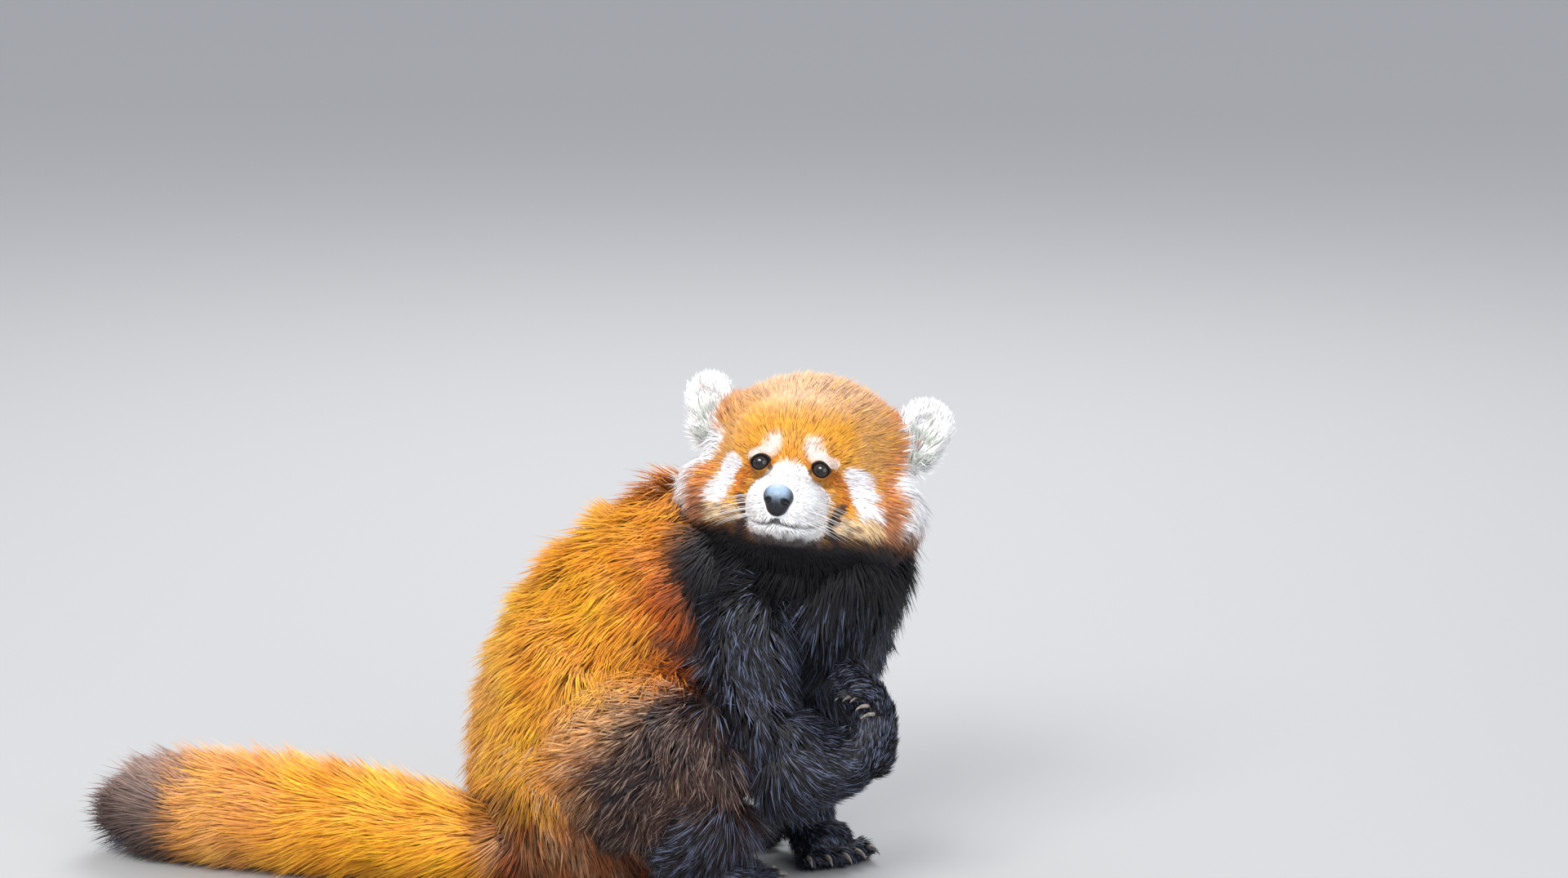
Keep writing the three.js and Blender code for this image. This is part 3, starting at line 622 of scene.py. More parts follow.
def head_field(h):
    """About the distance to the head's skin with its ears, at points in the head's frame."""
    fields = [mass(h, HEAD_LUMPS, HEAD_BLEND) + head_depth(h), *(ear_field(h, sign) for sign in SIDES)]
    return -2 * np.log(sum(np.exp(np.clip(-field / 2, -60, 60)) for field in fields))


def drawn_to(points, field, weight, steps=4):
    """Points moved onto the zero of a field, each by its weight."""
    h = points.copy()
    for _ in range(steps):
        value = field(h)
        reach = 0.4
        slope = np.stack([(field(h + d) - field(h - d)) / (2 * reach) for d in np.eye(3) * reach], 1)
        slope_size = np.maximum((slope**2).sum(1), 0.2)
        move = -(value / slope_size)[:, None] * slope
        h += np.clip(move, -4, 4) * weight[:, None]
    return h


MOUTH_WIDTH = 25
MOUTH_LOW = -25.4
MOUTH_RISE = 1.4
MOUTH_DEEP = 2.6
LIP_RISE = 0.9
LIP_GAP = 3.0  # from the line of the mouth to the middle of a lip
GROOVE_DEEP = 1.3
LIDS = (6, 5.0)  # half the width and height between them
LID_SLANT = 0.14
SOCKET_RING = 11
CREASE_RING = 8.8
EYE_FRONT = 6  # the lids lie in front of this, from the middle of the eye
EYE_BACK = 4.4  # the skin lies this far behind the front of the eye


def mouth_height(x):
    """The height of the mouth line across the muzzle."""
    t = np.clip(np.abs(x) / MOUTH_WIDTH, 0, 1)
    return MOUTH_LOW + MOUTH_RISE * (1 - t) ** 2 - np.sin(np.pi * t) + 3 * t**6


def mouth_share(h):
    """1 along the line of the mouth, fading past its corners."""
    return ramp(np.abs(h[:, 0]), MOUTH_WIDTH + 3, MOUTH_WIDTH - 3) * ramp(-h[:, 1], 50, 62)


def mouth_line(h, half):
    return bell(h[:, 2] - mouth_height(h[:, 0]), half) * mouth_share(h)


def eye_offset(h, sign):
    return h - on_side(EYE_AT, sign)


def opening(q, sign):
    """1 on the edge of the lids: an almond with its outer corner a little lower."""
    x = sign * q[:, 0]
    z = q[:, 2] + LID_SLANT * x
    half = LIDS[1] * (1 - 0.15 * (x / LIDS[0]) ** 2)
    return np.sqrt((x / LIDS[0]) ** 2 + (z / half) ** 2)


def carve_face(h):
    """Eye sockets, lids, the mouth with its lips, and the groove under the nose."""
    h = h.copy()
    for sign in SIDES:
        q = eye_offset(h, sign)
        flat = np.hypot(q[:, 0], q[:, 2])
        front = q[:, 1] < EYE_FRONT
        # The socket sinks a little round the eye, and the lids lie over the ball.
        h[:, 1] += np.where(front, bell(flat - SOCKET_RING, 4.5), 0)
        ball = np.sqrt(np.maximum((EYE_RADIUS + 1.0) ** 2 - np.minimum(flat, 7.2) ** 2, 1))
        h[:, 1] = mix(h[:, 1], EYE_AT[1] - ball, ramp(flat, 10.5, 6.4) * front)
        inside = ramp(opening(q, sign), 1.03, 0.84) * front
        h[:, 1] = mix(h[:, 1], EYE_AT[1] - EYE_RADIUS + EYE_BACK, inside)
        h[:, 1] += np.where(front, bell(flat - CREASE_RING, 0.8) * (q[:, 2] > -2) * 0.5, 0)
    gap = h[:, 2] - mouth_height(h[:, 0])
    outwards = unit(h - np.array((0, -40, -16)))
    lips = LIP_RISE * bell(np.abs(gap) - LIP_GAP, 1.7) - MOUTH_DEEP * bell(gap, 1.0)
    h += outwards * (lips * mouth_share(h))[:, None]
    h[:, 1] += GROOVE_DEEP * (bell(h[:, 0], 1.0) * ramp(h[:, 2], -26, -23) * ramp(-h[:, 1], 70, 80))
    return h


def drawn_head(h):
    """The front and the crown of the head drawn to its field."""
    front = ramp(-h[:, 1], -34, -4) * ramp(h[:, 2], -44, -30)
    return drawn_to(h, head_field, np.maximum(front, ramp(h[:, 2], 12, 30)))


def carved_head(h):
    """The face drawn to the field once more, then carved."""
    return carve_face(drawn_to(h, head_field, ramp(h[:, 1], FACE_FROM + 8, FACE_FROM), 3))


def reshape_head(skin, shape):
    """Moves the skin by a function of its points in the head's frame."""
    set_points(skin, from_head(shape(to_head(points_of(skin)))))


def make_skin():
    """One skin over the whole animal."""
    balls = head_balls()
    for limb in LIMBS:
        balls += limb_balls(limb)
    for sign in SIDES:
        balls += ear_balls(sign)
    skin = join(balls, "skin")
    apply_modifier(skin, "REMESH", mode="VOXEL", voxel_size=VOXEL / 1000)
    apply_modifier(skin, "SMOOTH", factor=0.5, iterations=8)
    keep_largest(skin)
    reshape_head(skin, drawn_head)
    refine(skin, near_face)
    refine(skin, near_ears)
    reshape_head(skin, drawn_head)
    reshape_head(skin, press_ears)
    refine(skin, near_features)
    refine(skin, near_lids)
    reshape_head(skin, carved_head)
    points = points_of(skin)
    points[:, 2] = np.maximum(points[:, 2], FLOOR_CLEARANCE)
    set_points(skin, points)
    apply_modifier(skin, "TRIANGULATE")
    activate(skin)
    bpy.ops.object.shade_smooth()
    return skin


def press_ears(h):
    """Presses the cups into the fronts of the ears."""
    for sign in SIDES:
        q = to_ear(h, sign)
        floor = np.full(len(q), -99.0)
        for (x, y, z), (wide, deep, high) in EAR_CUP:
            left = 1 - ((q[:, 0] - x) / wide) ** 2 - ((q[:, 2] - z) / high) ** 2
            floor = np.maximum(floor, np.where(left > 0, y + deep * np.sqrt(np.maximum(left, 0)), -99))
        front = (q[:, 1] < -0.5) & (q[:, 1] > -14) & (mass(q, EAR_LUMPS, EAR_BLEND) < 3)
        pressed = q.copy()
        pressed[:, 1] = np.maximum(q[:, 1], floor)
        h = np.where(front[:, None], from_ear(pressed, sign), h)
    return h


def keep_largest(piece):
    """Drops the shells that closed inside the body."""
    mesh = bmesh.new()
    mesh.from_mesh(piece.data)
    left = set(mesh.verts)
    shells = []
    while left:
        front = [left.pop()]
        shell = list(front)
        while front:
            vert = front.pop()
            for edge in vert.link_edges:
                other = edge.other_vert(vert)
                if other in left:
                    left.remove(other)
                    front.append(other)
                    shell.append(other)
        shells.append(shell)
    shells.sort(key=len)
    for shell in shells[:-1]:
        bmesh.ops.delete(mesh, geom=shell, context="VERTS")
    mesh.to_mesh(piece.data)
    mesh.free()


def near_face(h):
    return (h[:, 1] < FACE_FROM) & (np.abs(h[:, 0]) < 46) & (np.abs(h[:, 2] - 1) < 43)


def near_ears(h):
    chosen = np.zeros(len(h), bool)
    for sign in SIDES:
        q = to_ear(h, sign)
        chosen |= (np.abs(q[:, 0]) < 24) & (np.abs(q[:, 1]) < 14) & (q[:, 2] > -30)
    return chosen


def near_eyes(h, reach):
    return np.minimum(*[np.linalg.norm(eye_offset(h, sign), axis=1) for sign in SIDES]) < reach


def near_features(h):
    """The eyes, the mouth and the nose."""
    return (h[:, 1] < -60) & (h[:, 2] < -1) | near_eyes(h, 15)


def near_lids(h):
    """The lids and the lips."""
    mouth = np.abs(h[:, 2] - mouth_height(h[:, 0])) < 4
    return near_eyes(h, 11) | mouth & (mouth_share(h) > 0.1)


def refine(skin, chosen):
    """Splits the faces whose middles are chosen, by the head's frame."""
    activate(skin)
    picked = chosen(to_head(from_frame(read(skin.data.polygons, "center"))))
    bpy.ops.object.mode_set(mode="EDIT")
    bpy.ops.mesh.select_all(action="DESELECT")
    bpy.ops.object.mode_set(mode="OBJECT")
    for items in (skin.data.vertices, skin.data.edges):
        items.foreach_set("select", np.zeros(len(items), bool))
    skin.data.polygons.foreach_set("select", picked)
    bpy.ops.object.mode_set(mode="EDIT")
    bpy.ops.mesh.select_mode(type="FACE")
    bpy.ops.mesh.subdivide(number_cuts=1)
    bpy.ops.object.mode_set(mode="OBJECT")


# Markings and the growth of the coat, as functions of place.
def band(x, z, ends, half, soft=0.25):
    """How far inside a stripe between two points of the face, 1 on its line and 0 past half."""
    (x0, z0), (x1, z1) = ends
    dx, dz = x1 - x0, z1 - z0
    t = np.clip(((x - x0) * dx + (z - z0) * dz) / (dx * dx + dz * dz), 0, 1)
    far = np.hypot(x - x0 - t * dx, z - z0 - t * dz)
    return ramp(far, half * (1 + soft), half * (1 - soft))


FRINGE_SHIFT = 5  # the white fur under the right ear starts nearer the face, the left one farther out

# On either side of the face: the ends of a stripe, its half width and its tone.
BROW_SPOTS = ((((13, 27), (16, 23)), 5.8), (((18, 21), (28, 17)), 3.4))
FACE_STRIPES = (
    (((41, 9), (53, -15)), 7.0, "cheek"),
    (((36, -25), (54, -24)), 6.0, "cream"),
    (((26, 9), (33, 3)), 4.4, "tear"),
    (((33, 3), (36, -10)), 4.2, "tear"),
    (((35, -12), (32, -20)), 3.2, "brown"),
    (((27, -27), (31, -33)), 3.6, "dark_brown"),
)
WHISKER_SPOT = (((29, -22), (30, -21)), 2.6)
MUZZLE_HEIGHTS = (-40, -30, -22, -10, 0, 8, 17)
MUZZLE_HALVES = (22, 27, 31, 31, 23, 14, 5)


def ear_markings(h, sign):
    """White, painted grey in the cup as shade in its hollow, with a patch of rust on the back."""
    q = to_ear(h, sign)
    (_, _, middle), (wide, _, high) = EAR_LUMPS[0]
    edge = np.hypot(q[:, 0] / wide, (q[:, 2] - middle) / high)
    back = ramp(q[:, 1], 2.5, 4.5) * ramp(edge, 0.95, 0.7)
    return layered(
        "white",
        ("ear_cup_shade", ramp(mass(q, EAR_CUP, EAR_BLEND), 1.5, -0.5)),
        ("rust_deep", back * ramp(q[:, 2], 24, 12) * ramp(q[:, 2], -8, 0)),
    )


def lid_markings(h, sign):
    """The dark lids, browner below, and how far they reach."""
    q = eye_offset(h, sign)
    rim = 1.02 + 0.24 * ramp(q[:, 2] + LID_SLANT * sign * q[:, 0], -2, 3)
    lids = ramp(opening(q, sign) - rim, 0.12, -0.06)
    corner = 0.7 * band(sign * q[:, 0], q[:, 2], ((-5.6, 0), (-7.4, -2.6)), 1.6)
    colour = layered("lid", ("brown", 0.6 * ramp(q[:, 2], -1, -4)))
    return colour, np.maximum(lids, corner) * (q[:, 1] < EYE_FRONT)


def head_markings(h):
    """The colours of the head at points in its frame."""
    wobble = (noise(h, 7, 1) - 0.5) * 3
    x, y, z = np.abs(h[:, 0]) + wobble, h[:, 1], h[:, 2] + (noise(h, 6, 2) - 0.5) * 3
    front = ramp(-y, -12, 10)
    face = layered(
        "face",
        ("brow", ramp(z, 34, 18) * ramp(x, 30, 8)),
        ("crown", ramp(z, 38, 60) * 0.9),
        ("crown", 0.22 * noise(h, 12, 4)),
        ("crown", 0.35 * ramp(x, 30, 46) * ramp(z, 2, 14)),
    )
    colour = layered(
        "rust",
        ("rust_deep", 0.3 + 0.5 * noise(h, 9, 3)),
        ("brown", 0.55 * ramp(z, 6, -26) * ramp(x, 50, 62)),
        ("tan", 0.25 * front),
        (face, front * ramp(x, 63, 48)),
        (face, ramp(z, 44, 62) * ramp(y, 34, 10)),
        *(("brow_spot", 0.9 * band(x, z, ends, half, 0.6) * front) for ends, half in BROW_SPOTS),
        *((name, band(x, z, ends, half) * front) for ends, half, name in FACE_STRIPES),
    )
    speck = ramp(noise(h, 4, 21), 0.5, 0.75) * ramp(z, -15, -22) * ramp(x, 26, 34)
    muzzle = np.interp(z, MUZZLE_HEIGHTS, MUZZLE_HALVES)
    jaw = z - 4 * ramp(x, 24, 34) + 4 * (noise(h, 5, 17) - 0.5)
    out = x - FRINGE_SHIFT * np.sign(h[:, 0])
    side = ramp(out, 54, 59) * ramp(y, -24, -15) * ramp(y, 32, 20) * ramp(z, 34, 22) * ramp(z, -30, -18)
    colour = layered(
        colour,
        ("brown", 0.6 * speck * front),
        ("white", ramp(x, muzzle + 2, muzzle - 2) * ramp(z, 19, 11) * ramp(-y, 42, 50)),
        ("dark_brown", band(x, z, *WHISKER_SPOT) * front),
        ("dark_brown", ramp(jaw, -30.5, -35.5) * 0.9),
        ("black", ramp(jaw, -36, -42)),
        ("white", side),
    )
    for sign in SIDES:
        ear = ramp(mass(to_ear(h, sign), EAR_LUMPS, EAR_BLEND), 5, 1)
        colour = layered(colour, (ear_markings(h, sign), ear), lid_markings(h, sign))
    return layered(colour, ("lid", mouth_line(h, 1.1) * 0.9))


BORDER_X = 41  # the black of the chest starts here
NAPE_Z = 236
# Above this the painted sheen of the black coat fades out, so the throat is darkest, as in the chin's shade.
THROAT_Z = 206  # the black is deepest above this
RING_LENGTH = 52  # from one ring of the tail to the next


def torso_markings(p):
    """A gold back with paler flanks, deep rust along the black chest, belly and throat."""
    jag = (noise(p, 10, 5) - 0.5) * 10
    x, y, z = p[:, 0] + jag, p[:, 1], p[:, 2] + jag
    border = BORDER_X - 14 * ramp(z, 160, 240) - 36 * ramp(z, 140, 100)
    flank = ramp(x, -64, -104) * ramp(z, 210, 150) * ramp(z, 40, 80)
    fleck = ramp(noise(p, 8, 15), 0.35, 0.65)
    streak = ramp(x, -34, 16) * ramp(np.abs(z - 168 - 0.25 * x), 22, 6)
    nape = ramp(z, NAPE_Z - 6, NAPE_Z + 8) * ramp(np.abs(y - BODY_MIDDLE), 66, 52)
    nape = nape * np.maximum(ramp(x, 38, 24), ramp(y, -14, 14))
    return layered(
        "rust",
        ("gold", 0.3 + 0.7 * noise(p, 12, 7)),
        ("rust_deep", 0.25 * ramp(noise(p, 30, 22), 0.4, 0.8)),
        ("rust_deep", 0.95 * ramp(x, border - 66, border - 10) * (1 - 0.5 * ramp(z, 205, 245))),
        ("peach", 0.7 * flank * noise(p, 12, 6)),
        (mottled(p), 0.9 * ramp(z + 2 * jag, 92, 52)),
        ("dark_brown", 0.85 * streak * (0.35 + 0.65 * fleck)),
        ("dark_brown", ramp(x, border - 12, border) * (1 - nape) * 0.6),
        ("black", ramp(x, border - 5, border + 5) * (1 - nape)),
    )


def mottled(p):
    """Deep rust, brown and tan mixed in flecks, as low on the rump."""
    return layered(
        "rust_deep",
        ("brown", 0.55),
        ("dark_brown", 0.2 + 0.65 * ramp(noise(p, 6, 13), 0.3, 0.7)),
        ("tan", 0.5 * ramp(noise(p, 5, 19), 0.5, 0.8)),
    )


def thigh_markings(p):
    """Haunches like the back above and behind, with black and brown flecks towards the knee."""
    x, z = p[:, 0], p[:, 2]
    blotch = (noise(p, 18, 8) - 0.5) * 34
    fleck = ramp(noise(p, 6, 13), 0.3, 0.7)
    light = layered(
        torso_markings(p),
        ("tan", (0.2 + 0.45 * noise(p, 11, 18)) * ramp(x, -84, -40)),
        ("brown", 0.6 * fleck * ramp(x + blotch, -60, -20)),
        (mottled(p), ramp(z + blotch, 84, 50)),
    )
    knee = layered("dark_brown", ("brown", 0.5 * fleck))
    dark = layered("black", ("brown", 0.45 * fleck), (knee, ramp(x + blotch, 6, 34)))
    middle = ramp(x + 0.35 * (100 - z) + blotch, -50, -16) * ramp(z - 0.8 * x + blotch, 150, 120)
    return mix(light, dark, middle)


def tail_markings(p):
    """Gold with faint rusty rings and a dark tip, painted greyer on top as lit from above."""
    length = -p[:, 0] + 14 * (noise(p, 14, 9) - 0.5)
    rings = 0.5 + 0.5 * np.sin((length - 110) / RING_LENGTH * 2 * np.pi)
    # Painted light: the top of the dark tip is lightened to ash, as lit from above.
    tip = layered("dark_brown", ("ash", ramp(p[:, 2] + 12 * noise(p, 12, 16), 26, 66)))
    return layered(
        "rust",
        ("gold", 0.55 + 0.4 * noise(p, 16, 10)),
        ("rust", 0.4 * (1 - rings)),
        (mottled(p), ramp(length, 116, 88) * ramp(p[:, 2], 84, 64)),
        ("tan", 0.45 * ramp(length, 210, 280)),
        ("rust", 0.3 * ramp(length, 200, 250)),
        (tip, ramp(length, 288, 322)),
    )


def black_markings(p):
    """Black, but for the grey pad of the raised palm."""
    return layered("black", ("pad", 1 - palm_bare(p)))


MARKINGS = {
    "torso": torso_markings,
    "neck": torso_markings,
    "arm": black_markings,
    "forearm": black_markings,
    "thigh": thigh_markings,
    "shank": black_markings,
    "tail": tail_markings,
    "foot": black_markings,
}

# How often a tuft is pale or dark among its neighbours, and of what colour. On the black coat the pale tufts
# are a painted bluish sheen.
GRIZZLE = {
    "rust": (0.16, "gold"),
    "haunch": (0.22, "tan"),
    "flecked": (0.26, "ash"),
    "black": (0.26, "painted_blue_sheen"),
}


# The length, standing height, width and count of short tufts.
MUZZLE_FUR = (5.4, 1.7, 0.62, 260)
EYE_FUR = (3.2, 0.9, 0.5, 300)


def head_growth(h):
    """Lie, length, standing height, width, count and curl of the head's tufts."""
    x, y, z = np.abs(h[:, 0]), h[:, 1], h[:, 2]
    outwards, none = np.sign(h[:, 0]), 0 * x
    lie = unit(h - np.array((0, -92, -10)))
    lie = lie + np.stack([none, 0.5 + none, -0.45 * ramp(x, 30, 60) * ramp(z, 30, 0)], 1)
    face = ramp(-y, 14, 40)
    crown = ramp(z, 26, 52)
    cheek = ramp(x, 38, 60) * ramp(z, 34, 8)
    length = 19 - 10.5 * face + 3 * crown * face + 6 * cheek * face
    height = 7 - 4.4 * face + 1.2 * crown * face + 4 * cheek * face
    grown = np.column_stack([length, height, 1.0 - 0.2 * face + 0.1 * cheek, 98 + 82 * face])
    grown = mix(grown, MUZZLE_FUR, ramp(-y, 50, 64) * ramp(x, 42, 30))
    # Long fur stands out under the ears.
    out = x - FRINGE_SHIFT * outwards
    side = ramp(out, 52, 58) * ramp(y, -26, -16) * ramp(y, 36, 24) * ramp(z, 34, 22) * ramp(z, -38, -24)
    lie = mix(lie, np.stack([0.6 * outwards, -0.25 + none, -1.0 + none], 1), side)
    grown[:, :2] = mix(grown[:, :2], (18, 8), side)
    # The crown widens towards the ears.
    temple = ramp(x, 38, 54) * ramp(z, 20, 34) * ramp(y, 40, 24)
    lie = mix(lie, np.stack([0.8 * outwards, 0.3 + none, 0.7 + none], 1), 0.6 * temple)
    grown[:, :2] += temple[:, None] * (7, 6)
    for sign in SIDES:
        q = to_ear(h, sign)
        ear = ramp(mass(q, EAR_LUMPS, EAR_BLEND), 6, 2)
        cup = mass(q, EAR_CUP, EAR_BLEND)
        rim = 1 - ramp(np.abs(cup), 1.0, 4.0)
        foot = ramp(q[:, 2], 2, -14)
        away = np.stack([sign * q[:, 0], -9 + none, q[:, 2] + 22], 1) @ ear_axes(sign).T
        lie = mix(lie, unit(away), ear)
        count = 170 - 110 * ramp(cup, 1.0, -0.5)
        fur = [7.5 + 2 * rim + 5 * foot, 2.2 + 0.8 * rim + 3 * foot, 0.75 + none, count]
        grown = mix(grown, np.column_stack(fur), ear)
        q = eye_offset(h, sign)
        eye = ramp(np.linalg.norm(q, axis=1), 17, 9)
        lie = mix(lie, unit(q * np.array((1, 0.2, 1)) + lie * 3), eye)
        grown = mix(grown, EYE_FUR, eye)
        grown[:, 3] *= ramp(opening(q, sign), 1.16, 1.36)
    grown[:, 3] *= ramp(nose_field(h), 0.2, 1.4)
    grown[:, 3] *= 1 - ramp(mouth_line(h, 0.9), 0.25, 0.6)
    values = dict(zip(("length", "height", "width", "count"), grown.T))
    return {"lie": unit(lie @ HEAD_AXES.T), "curl": HEAD_CURL, **values}


def body_growth(points, weights):
    """The same for the body, from the limbs near each point."""
    lie = np.zeros_like(points)
    colour = np.zeros_like(points)
    values = {key: np.zeros(len(points)) for key in ("length", "depth", "width", "count", "fall", "curl")}
    drawn = {name: paint_with(points) for name, paint_with in MARKINGS.items()}
    for limb, weight, index in weights:
        coat = COATS[limb.coat]
        lie += weight[:, None] * limb.tangent[index] * coat["sense"]
        colour += weight[:, None] * drawn[limb.coat]
        for key in values:
            values[key] += weight * coat[key]
    lie[:, 2] -= values["fall"]
    # The brush of the tail closes to its tip, and long hair hangs from the elbows and the knee.
    values["length"] = np.minimum(values["length"], np.maximum(points[:, 0] - TAIL_END, 4) + 6)
    for at, reach, more, way in FRINGES:
        near = bell(np.linalg.norm(points - at, axis=1), reach)
        values["length"] += more * near
        lie += near[:, None] * way
    return {"lie": unit(lie), "colour": colour, "height": values["depth"] * 0.95, **values}


def grow(points):
    """All that the coat needs to know at each point of the skin."""
    h = to_head(points)
    ears = np.minimum(*[ear_field(h, sign) for sign in SIDES])
    away_head = np.minimum(mass(h, HEAD_LUMPS, HEAD_BLEND) + 5, ears)
    nears = [limb.near(points) for limb in LIMBS]
    shares = [np.exp(-np.clip(far, -6, 60) / 5) for far, _ in nears]
    head_share = 2.5 * np.exp(-np.clip(away_head, -6, 60) / 4)
    total = sum(shares) + 1e-12
    weights = [(limb, share / total, index) for limb, share, (_, index) in zip(LIMBS, shares, nears)]
    on_head = (head_share / (head_share + total)) * ramp(h[:, 2], -52, -40)
    on_head = ramp(on_head, 0.25, 0.75)
    marked = ramp(on_head, 0.5, 0.95)
    names = [limb.name for limb in LIMBS]
    region = np.array(names, dtype=object)[np.argmax(np.array(shares), axis=0)]
    region[on_head > 0.5] = "head"
    region[(ears < 2) & (on_head > 0.5)] = "ears"
    body, head = body_growth(points, weights), head_growth(h)
    grown = {key: mix(body[key], head[key], on_head) for key in head}
    grown["count"] *= palm_bare(points)
    grown["colour"] = mix(body["colour"], head_markings(h), marked)
    return {**grown, "body_colour": body["colour"], "marked": marked, "region": region}


def palm_bare(points):
    """0 on the bare skin of the raised palm."""
    q = points - np.array(hand_point(18, 0, 24))
    up, across, out = q @ HAND_UP, q @ HAND_ACROSS, q @ HAND_PALM
    far = np.sqrt((up / 13) ** 2 + (across / 13) ** 2 + (out / 9) ** 2)
    return ramp(far, 0.8, 1.1)


# The coat.
def smoothed(values, edges, rounds):
    """Values on the skin's points, each drawn to the mean of its neighbours."""
    count = len(values)
    ends = np.concatenate([edges[:, 0], edges[:, 1]])
    others = np.concatenate([edges[:, 1], edges[:, 0]])
    degree = np.maximum(np.bincount(ends, minlength=count), 1)
    for _ in range(rounds):
        sums = np.stack([np.bincount(ends, values[others, k], count) for k in range(values.shape[1])], 1)
        values = 0.5 * values + 0.5 * sums / degree[:, None]
    return values


def skin_arrays(skin):
    data = skin.data
    return {
        "points": points_of(skin),
        "normals": read(data.vertices, "normal"),
        "triangles": read(data.loops, "vertex_index", 1, int).reshape(-1, 3),
        "flat": read(data.uv_layers["OFBake"].uv, "vector", 2).reshape(-1, 3, 2),
    }


def sow(skin, growth, share):
    """Roots for tufts, spread over the skin by how many grow at each place."""
    points, triangles = skin["points"], skin["triangles"]
    a, b, c = (points[triangles[:, k]] for k in range(3))
    area = np.linalg.norm(np.cross(b - a, c - a), axis=1) / 2 / 100
    wanted = area * growth["count"][triangles].mean(1) * share
    number = int(wanted.sum())
    face = draws.choice(len(triangles), number, p=wanted / wanted.sum())
    r = np.sqrt(draws.random(number))
    s = draws.random(number)
    weights = np.stack([1 - r, r * (1 - s), r * s], 1)
    return face, weights


def blended(values, triangles, face, weights):
    return np.einsum("nk,nk...->n...", weights, values[triangles[face]])


SWIRLS = ((24, 11, 1.1), (9, 12, 0.7))  # the size, the seed and the strength of each
SCATTER = 0.13  # how far a tuft turns from its neighbours
LEAST_TUFT = 0.0001  # cubic millimetres
TUFT_BELLY = 0.4  # where along a tuft it is widest
BELLY_RISE = 0.62  # how much of its height it has there
RIDGE = 0.4
SOFTNESS = 0.55  # how much a tuft's own form turns its shading from the skin's
TUFT_TRIANGLES = np.array([(1, 3, 4), (3, 2, 4), (2, 1, 4), (3, 1, 0), (2, 3, 0), (1, 2, 0)])
UNDERSIDES = (2, 5)  # which of these triangles face the skin


def tuft_arrays(root, normal, lie, length, height, width):
    """Five points for each tuft, its root, three corners at its belly and its tip, with the normals of
    the corners of its triangles."""
    side = unit(np.cross(lie, normal))
    tilt = draws.normal(0, 0.35, len(root))[:, None]
    up = unit(normal + side * tilt)
    side = unit(np.cross(lie, up))
    span = np.sqrt(np.maximum(length**2 - height**2, (0.3 * length) ** 2))
    belly = root + lie * (span * TUFT_BELLY)[:, None] + normal * (height * BELLY_RISE)[:, None]
    half = side * (width / 2)[:, None]
    corners = [
        root - normal * ROOT_SINK,
        belly - half,
        belly + half,
        belly + up * (width * RIDGE)[:, None],
        root + lie * span[:, None] + normal * height[:, None],
    ]
    ways = [normal, -side, side, up, unit(lie + normal)]
    over = np.stack([unit(normal + SOFTNESS * way) for way in ways], 1)
    under = np.stack([unit(SOFTNESS * way - normal) for way in (side * 0, -side, side, up, lie)], 1)
    normals = over[:, TUFT_TRIANGLES]
    for k in UNDERSIDES:
        normals[:, k] = under[:, TUFT_TRIANGLES[k]]
    return np.stack(corners, 1), normals


def tuft_volumes(corners):
    """The volume that each tuft closes, negative where the floor has turned it inside out."""
    faces = (corners - corners[:, :1])[:, TUFT_TRIANGLES]
    return (np.cross(faces[:, :, 0], faces[:, :, 1]) * faces[:, :, 2]).sum((1, 2)) / 6


def clump(root, corners):
    """Draws the tips of neighbouring tufts together."""
    count = len(root)
    heads = draws.choice(count, max(int(count * CLUMP_SHARE), 1), replace=False)
    tree = KDTree(len(heads))
    for i, k in enumerate(heads):
        tree.insert(root[k], i)
    tree.balance()
    nearest = np.array([tree.find(p)[1] for p in root])
    members = np.maximum(np.bincount(nearest, minlength=len(heads)), 1)
    shift = corners[:, 4] - root
    mean = np.stack([np.bincount(nearest, corners[:, 4, k], len(heads)) / members for k in range(3)], 1)
    pull = (mean[nearest] - corners[:, 4]) * CLUMP_PULL
    reach = np.linalg.norm(shift, axis=1, keepdims=True) * 0.35
    size = np.linalg.norm(pull, axis=1, keepdims=True)
    pull *= np.minimum(1, reach / np.maximum(size, 1e-6))
    corners[:, 4] += pull
    corners[:, 1:4] += 0.4 * pull[:, None]
    return nearest


def strand_colours(colour, root, region, nearest):
    """A root painted dark as shade deep in the coat and a tip painted lighter as lit, with the odd pale one
    among dark neighbours, which on the black coat is a painted bluish sheen.
    """
    number = len(root)
    bright = 1 + 0.16 * draws.normal(0, 1, number)
    clump_bright = 1 + 0.14 * draws.normal(0, 1, nearest.max() + 1)[nearest]
    luck = draws.random(number)
    haunch = np.array([name.startswith("thigh") for name in region])
    dark = colour.max(1) < 0.06
    rusty = (colour.max(1) > 0.55) & ~haunch & (colour[:, 2] < 0.35 * colour[:, 0])
    # The painted sheen of the black coat fades out up under the chin, leaving the throat dark as in shade.
    clear_of_chin_shade = ramp(root[:, 2], THROAT_Z + 14, THROAT_Z - 16)
    tip = colour * (bright * clump_bright)[:, None]
    for chosen, kind, often in (
        (rusty, "rust", 1),
        (haunch & ~dark, "haunch", 1),
        (haunch & dark, "flecked", 1),
        (dark & ~haunch, "black", clear_of_chin_shade),
    ):
        share, name = GRIZZLE[kind]
        picked = chosen & (luck < share * often)
        tip[picked] = mix(tip[picked], tone(name), 0.4 + 0.5 * draws.random(picked.sum()))
    # Painted shade and light: a root is darkened as shaded deep in the coat, and the tip of a dark tuft is
    # lightened as lit.
    pale = colour.min(1) > 0.3
    deep = np.where(pale, 0.94, 0.5)
    shaded_root = colour * (deep * bright)[:, None]
    middle = mix(shaded_root, tip, 0.6)
    tip = tip * np.where(pale, 1.0, 1.18)[:, None]
    return [np.clip(some, 0, BRIGHTEST) for some in (shaded_root, middle, tip)]


def varied(spread, low, high, count):
    """Factors about 1, one for each tuft."""
    return np.clip(1 + spread * draws.normal(0, 1, count), low, high)


